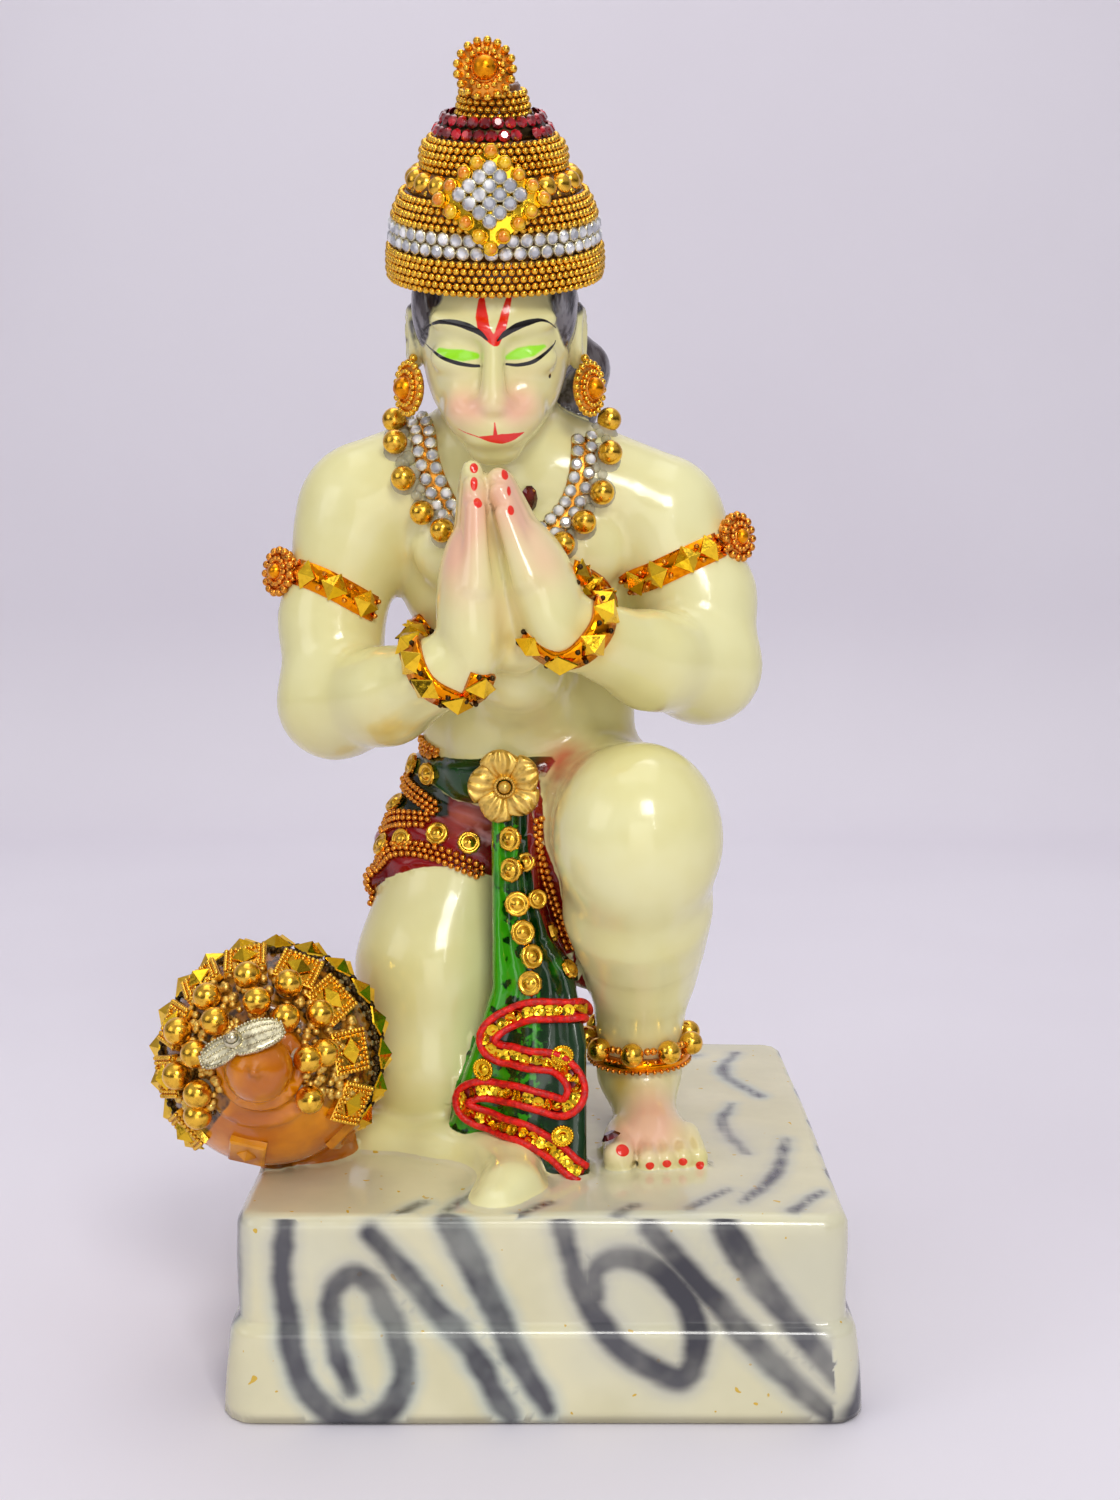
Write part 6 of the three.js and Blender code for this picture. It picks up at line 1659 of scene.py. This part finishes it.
def petal_flower(heap, at, radius):
    """Overlapping engraved petals round a centre ball, facing the front."""
    def petal_point(u, v):
        wide = 0.76 * radius * math.sin(min(u * 1.2, 1) * math.pi / 2) * (1 - 0.5 * max(u - 0.7, 0) * 3.3)
        reach = radius * u * (1 - 0.14 * v * v * u)
        engraved = 0.22 * math.cos(v * 13 + u * 3) * u
        height = 0.7 + 1.7 * math.sin(u * 2.3) * (1 - 0.5 * v * v) + 0.5 * v * u + engraved
        return reach, v * wide * (0.5 + 0.5 * u) + 0.9 * u * u, height

    top, faces, rim = sheet(petal_point, np.linspace(0.18, 1, 11), np.linspace(-1, 1, 27))
    points, faces = walled(top, top * [1, 1, 0] + [0, 0, 0.1], faces, rim)
    for a in around(PETALS, 0.25):
        turn = np.array([[math.cos(a), math.sin(a), 0], [-math.sin(a), math.cos(a), 0], [0, 0, 1]])
        heap.stamp([((points @ turn, faces), 0, True)], [at], FRONT)
    heap.stamp([(lathe([(1.9, 1.0), (1.95, 2.4), (1.5, 2.6), (1.3, 2.0)], 24), 0, True),
                (ball_shape(1.15, 18, 9, -0.6, 2.6), 0, True)], [at], FRONT)
    heap.stamp(ring_of(ball_shape(0.3, 8, 5, -0.8), 12, 1.62, 2.6, 0), [at], FRONT)


def hip_line(pairs):
    """Points given across and up, laid on the front of the cloth."""
    x, z = np.asarray(pairs, float).T
    p = met(np.stack([x, np.full(len(x), IN_FRONT), z], 1), (0, 1, 0))
    p[:, 1] = np.minimum(p[:, 1], HIP_DEPTH)
    return settle(p, body, 3)


def make_waist():
    heap = Heap()
    petal_flower(heap, spotted(FLOWER, body) + [0, -0.2, 0], 6.4)
    heap.piece("waist_flower_petals", [MATTE_GOLD], "waist_flower")
    for name, (pairs, rows) in CHAINS.items():
        heap = Heap()
        line = hip_line(pairs)
        for k in range(rows):
            offset = (k - (rows - 1) / 2) * CHAIN_PITCH + 1e-6
            p, f = laid(line, CHAIN_BALL * 2.02, lift=0.45, offset=offset, phase=0.0 if k % 2 else 0.5, wide=1.0)
            heap.stamp([(ball_shape(CHAIN_BALL, 10, 6, -0.95), 0, True)], p, f)
        heap.piece(name + "_beads", [COPPER_GOLD], name)
    for name, (pairs, radius) in COINS.items():
        at = hip_line(pairs)
        frames = frames_of(slope(at, body, 1.0), np.tile(SIDE_X, (len(at), 1)))
        for i, (p, f) in enumerate(zip(at, frames), 1):
            heap = Heap()
            heap.stamp(coin_parts(radius), [p + f[2] * 0.35], f)
            heap.piece("%scoin_%d" % (name, i), [GOLD], "%s%d" % (name, i))


# The braid on the sash
# the cord's bows and the loose coins in the picture's frame, and the depths that the sash spans
BRAID = [(588, 1018), (580, 1011), (570, 1012.5), (552.5, 1011), (532.5, 1011), (515, 1016), (497.5, 1023.8),
         (487, 1040), (498, 1052.5), (515, 1055), (527.5, 1060), (540, 1061), (557.5, 1063.5), (572.5, 1077.5),
         (576, 1095), (567, 1109), (547.5, 1103.5), (532.5, 1100), (520, 1095), (505, 1092.5), (490, 1089),
         (472.5, 1090), (463, 1101), (474, 1114), (492.5, 1120), (507.5, 1127.5), (520, 1131), (535, 1138.5),
         (549, 1146.5), (561, 1155), (571, 1167), (584, 1176)]
LOOSE_COINS = [(564, 1056.5), (484, 1068), (564, 1137)]
LOOSE_LEANS = [(0.3, 0, 0.5), (-0.5, 0, 0), (0.2, 0, 0.5)]
SASH_DEPTHS = (-40, -14)
CORD_RADIUS = 0.68
CORD_APART = 1.5


def make_braid():
    """Two cords side by side with sequins between, and three loose coins."""
    heap = Heap()
    line = before(seen(curved(BRAID), body), SASH_DEPTHS[1])
    line = line[line[:, 1] > SASH_DEPTHS[0]][::3]
    p, f = laid(line, 0.8, lift=0.8, offset=1e-6, wide=2.0)
    for side in (-1, 1):
        cord = p + f[:, 1] * side * CORD_APART
        for _ in range(2):
            cord[1:-1] = (cord[:-2] + cord[1:-1] * 2 + cord[2:]) / 4
        heap.add(tube(cord, CORD_RADIUS, 8, f[:, 2]), 0)
    heap.add(ribbon(p - f[:, 2] * 0.5, f, 1.5, -0.3, 0.25), 3)
    rng = np.random.default_rng(4)
    for spacing, radius, reach, lift in ((1.9, 1.05, 0.35, 0.9), (1.3, 0.6, 0.8, 0.8)):
        q, g = laid(line, spacing, lift=lift, offset=1e-6, phase=0.3, wide=2.0)
        tilt = g[:, 2] + 0.3 * rng.normal(size=(len(q), 3))
        shift = g[:, 1] * rng.uniform(-reach, reach, len(q))[:, None]
        rings = [(radius, -0.08), (radius * 1.02, 0.04), (radius * 0.5, -0.06), (radius * 0.2, 0.0), (0, 0.0)]
        heap.stamp([(lathe(rings, 14), 1, False)], q + shift, frames_of(tilt, g[:, 0]))
    loose = seen(LOOSE_COINS, body)
    out = slope(loose, body, 1.5)
    rings = [(1.7, -0.15), (1.75, 0.2), (1.4, 0.3), (1.2, 0.12), (0.7, 0.2), (0.4, 0.5), (0, 0.6)]
    parts = ring_of(ball_shape(0.3, 8, 5, -0.9), 22, 1.75, 0.3, 1) + [(lathe(rings, 24), 1, True)]
    heap.stamp(parts, loose + out * 0.8, frames_of(out + np.array(LOOSE_LEANS), np.tile(SIDE_X, (3, 1))))
    heap.piece("sash_braid_lace", [RED_CORD, LEMON_GOLD, DARK_METAL, DEEP_RED], "sash_braid")


# Anklet and mace
ANKLE = (17.3, -7.6)
ANKLE_TURNS = 48
BAND_HEIGHT = 14.6
BALLS_HEIGHT = 18.0
BALLS_APART = 5.3


def ankle_ring(height):
    """The ankle's skin round its middle at a height, met from inside."""
    a = around(ANKLE_TURNS)
    way = np.stack([-np.cos(a), -np.sin(a), 0 * a], 1)
    return met(np.tile([*ANKLE, height], (ANKLE_TURNS, 1)), way, lambda p: -body(p))


def make_anklet():
    low, high = ankle_ring(BAND_HEIGHT), ankle_ring(BALLS_HEIGHT)
    heap = Heap()
    heap.add(ribbon(*laid(low, 1.2, closed=True, wide=1.2), 1.1, -0.3, 1.7, True, 0.2), 0)
    p, f = laid(low, 1.1, closed=True, wide=1.2, lift=1.6)
    for side in (-1, 1):
        heap.stamp([(ball_shape(0.42, 8, 5, -0.8), 1, True)], p + f[:, 1] * side, f)
    heap.piece("anklet_band_edge", [AMBER_BAND, COPPER_GOLD], "anklet_band")
    heap = Heap()
    heap.stamp([(ball_shape(2.15, 20, 11, -0.97, 2.1), 0, True)], *laid(high, BALLS_APART, closed=True, wide=1.2))
    step = settle(resample(high, BALLS_APART, True, 0.5), body, 2)
    f = frames_of(slope(step, body, 1.2), tangents(step, True))
    for side in (-0.55, 0.55):
        heap.stamp([(ball_shape(0.7, 10, 6, -0.9, 1.4), 1, True)], step + f[:, 0] * side + f[:, 1] * 0.2, f)
    heap.piece("anklet_balls", [GOLD, COPPER_GOLD], "anklet_beads")


def on_mace(polar, turn):
    """Points on the mace's head and frames along its rings, from angles in degrees off the knob's axis."""
    polar, turn = np.radians(np.broadcast_arrays(np.asarray(polar, float), np.asarray(turn, float)))
    ring = np.outer(np.cos(turn), MACE_UP) + np.outer(np.sin(turn), MACE_SIDE)
    way = np.outer(np.cos(polar), MACE_OUT) + ring * np.sin(polar)[:, None]
    p = met(MACE + way * 30, -way, mace)
    along = np.outer(-np.sin(turn), MACE_UP) + np.outer(np.cos(turn), MACE_SIDE)
    return p, frames_of(slope(p, mace, 1.0), along)


def on_mace_seen(pixels):
    p = settle(seen(pixels, mace), mace, 1)
    out = slope(p, mace, 1.2)
    return p, frames_of(out, np.cross(np.tile(MACE_OUT, (len(p), 1)), out))


# In the picture's frame, the balls of each arc. Then the arc's degrees off the knob's axis, and how many
# crumbs of glue lie round it.
MACE_BALLS = {
    "outer": ([(249.8, 983.6), (286.7, 990.7), (214, 1002.6), (314, 1018), (187.9, 1033.6), (320, 1056.2),
               (186.7, 1072.9), (205.7, 1108.6)], 48, 180),
    "inner": ([(255.7, 1006.5), (220, 1022.9), (285.5, 1021.7), (203, 1050), (297, 1057.4), (205.7, 1087.1),
               (303.3, 1093.1)], 30, 120),
}
MACE_TILES = [(246.2, 962), (297.4, 971.7), (329.5, 1001.4), (347.4, 1051.4), (348.6, 1101.4), (203.3, 982.4),
              (178.3, 1025.6), (171.4, 1075.6), (190.2, 1127.6)]
PAINTED_TILES = [(344, 1133), (248, 1150)]
# each row of pyramids: its degrees off the axis, the turns where it starts and ends, and its shift
MACE_PYRAMIDS = {"front": (83, -136, 124, 0), "back": (100, -130, 122, 8)}
PYRAMID_RING = 18.3
PYRAMID_PITCH = 5.1
# the balls beside a row of pyramids, in degrees off it
PYRAMID_BORDER = 9.3
LEAF_MIDDLE = (242.5, 1045)
LEAF_ENDS = ((208, 1066), (279, 1025))
LEAF_OUT = (-0.1, -0.75, 0.66)
LEAF_HALF = 7.2
LEAF_BOSS = (-1.0, 0.6, 0)
# stones set alone: the place in the picture's frame, the radius, and the shares of it across and along
SINGLE_STONES = {"ring_stone": ((529, 498), 2.0, (0.85, 1.4)), "toe_stone": ((613, 1141), 2.1, (1, 0.8))}


def make_mace_balls():
    bed = lathe([(1.6, -0.2), (1.4, 0.4), (1.0, 0.9)], 14)
    ball = [(ball_shape(2.4, 20, 11, -0.97, 2.1), 0, True), (bed, 1, True)]
    rng = np.random.default_rng(12)
    for name, (spots, far, crumbs) in MACE_BALLS.items():
        heap = Heap()
        heap.stamp(ball, *on_mace_seen(spots))
        p, f = on_mace(far + rng.uniform(-9, 9, crumbs), rng.uniform(-130, 118, crumbs))
        heap.stamp([(ball_shape(0.72, 8, 5, -0.8, 0.35), 2, True)], p, f, jitter(crumbs, 0.3, 6))
        heap.piece("mace_balls_" + name, [GOLD, GLUE, MATTE_GOLD], "mace_beads_" + name)


def square_of(shape, count, pitch, half, height):
    """A shape's copies along the four sides of a square, as parts."""
    steps = (np.arange(count) - (count - 1) / 2) * pitch
    return [(moved(shape, (a, b, height)), 1, True)
            for t in steps for a, b in ((t, half), (t, -half), (half, t), (-half, t))]


def make_mace_tiles():
    heap = Heap()
    tile = [(block_shape(7.2, 7.2, 1.3, -0.4, 0.3), 1, False),
            (pyramid_shape(4.6, 4.6, 1.8, 1.1, 0.2), 0, False)]
    tile += square_of(ball_shape(0.4, 8, 5, -0.6), 9, 0.8, 3.25, 1.05)
    tile += square_of(ball_shape(0.36, 6, 4, -0.6), 5, 1.15, 2.45, 1.1)
    heap.stamp(tile, *on_mace_seen(MACE_TILES))
    painted = [(block_shape(6.2, 6.2, 1.4, -0.4, 0.3), 2, False),
               (pyramid_shape(3.4, 3.4, 1.2, 1.0, 0.2), 2, False)]
    heap.stamp(painted, *on_mace_seen(PAINTED_TILES))
    heap.piece("mace_tiles_square", [LEMON_GOLD, GOLD, MACE_PAINT], "mace_tiles")


def make_mace_pyramids():
    tile = [(pyramid_shape(5.4, 5.4, 2.0, 0.5, 0.3), 0, False), (block_shape(3.4, 3.4, 0.9, -0.3), 1, False)]
    for name, (polar, start, end, shift) in MACE_PYRAMIDS.items():
        heap = Heap()
        count = int(math.radians(end - start) * PYRAMID_RING / PYRAMID_PITCH)
        heap.stamp(tile, *on_mace(polar, np.linspace(start, end, count) + shift))
        for side in (-PYRAMID_BORDER, PYRAMID_BORDER):
            p, f = on_mace(polar + side, np.linspace(start, end, count * 3))
            heap.stamp([(ball_shape(0.62, 8, 5, -0.8, 0.5), 1, True)], p, f)
        heap.piece("mace_pyramids_%s_row" % name, [LEMON_GOLD, DARK_METAL], "mace_pyramids_" + name)


def leaf_wide(u):
    """Half the leaf's width along it, from its small lobe to its large one."""
    if u > -0.12:
        return 0.4 + 2.4 * math.sqrt(max(1 - ((u - 0.32) / 0.68) ** 2, 0))
    return 0.4 + 1.9 * math.sqrt(max(1 - ((u + 0.5) / 0.5) ** 2, 0))


def leaf_point(u, v, high=1.1, engraved=0.1):
    ripple = engraved * math.cos(v * 12) * math.cos(u * 30)
    return LEAF_HALF * u, v * leaf_wide(u), high - 1.3 * u * u - 0.35 * v * v + ripple


def make_mace_leaf():
    """The filigree leaf across the knob's top."""
    heap = Heap()
    out = unit_of(LEAF_OUT)
    first, last = (spotted(end, mace) for end in LEAF_ENDS)
    at = [spotted(LEAF_MIDDLE, mace) + out * 0.6]
    frame = frames_of(out[None], unit_of(last - first)[None])
    top, faces, rim = sheet(leaf_point, np.linspace(-1, 1, 25), np.linspace(-1, 1, 9))
    n = len(top)
    under = [(n + c, n + b, n + a) for a, b, c in faces]
    heap.stamp([(walled(top, top - [0, 0, 0.5], faces + under, rim), 0, True)], at, frame)
    dot = ball_shape(0.27, 6, 4, -0.8)
    across = (-0.95, -0.5, 0.0, 0.5, 0.95)
    dots = [leaf_point(u, v, 1.15, 0) for u in np.linspace(-0.97, 0.97, 27) for v in across]
    heap.stamp([(moved(dot, place), 0, True) for place in dots], at, frame)
    collar = lathe([(1.5, 0.4), (1.55, 1.5), (1.1, 1.8)], 16)
    boss = ball_shape(1.0, 16, 8, -0.4, 1.8)
    heap.stamp([(moved(collar, LEAF_BOSS), 0, True), (moved(boss, LEAF_BOSS), 0, True)], at, frame)
    heap.piece("mace_leaf_cap", [SILVER_GOLD], "mace_leaf")


def make_single_stones():
    for node, (pixel, radius, (wide, tall)) in SINGLE_STONES.items():
        at = seen([pixel], body)
        out = slope(at, body, 1.0)
        (points, faces), look, smooth = gem_parts(radius, 0, 1, 10)[1]
        heap = Heap()
        stone = [((points * [wide, tall, 1], faces), look, smooth)]
        heap.stamp(stone, at - out * 0.5, frames_of(out, SIDE_X[None]))
        heap.piece(node + "_cut", [GOLD, DARK_STONE], node)


make_casting()
make_crown_chains()
make_crown_stones()
make_brooch()
make_rosettes()
make_necklace()
make_armlets()
make_bracelets()
make_waist()
make_braid()
make_anklet()
make_mace_balls()
make_mace_tiles()
make_mace_pyramids()
make_mace_leaf()
make_single_stones()
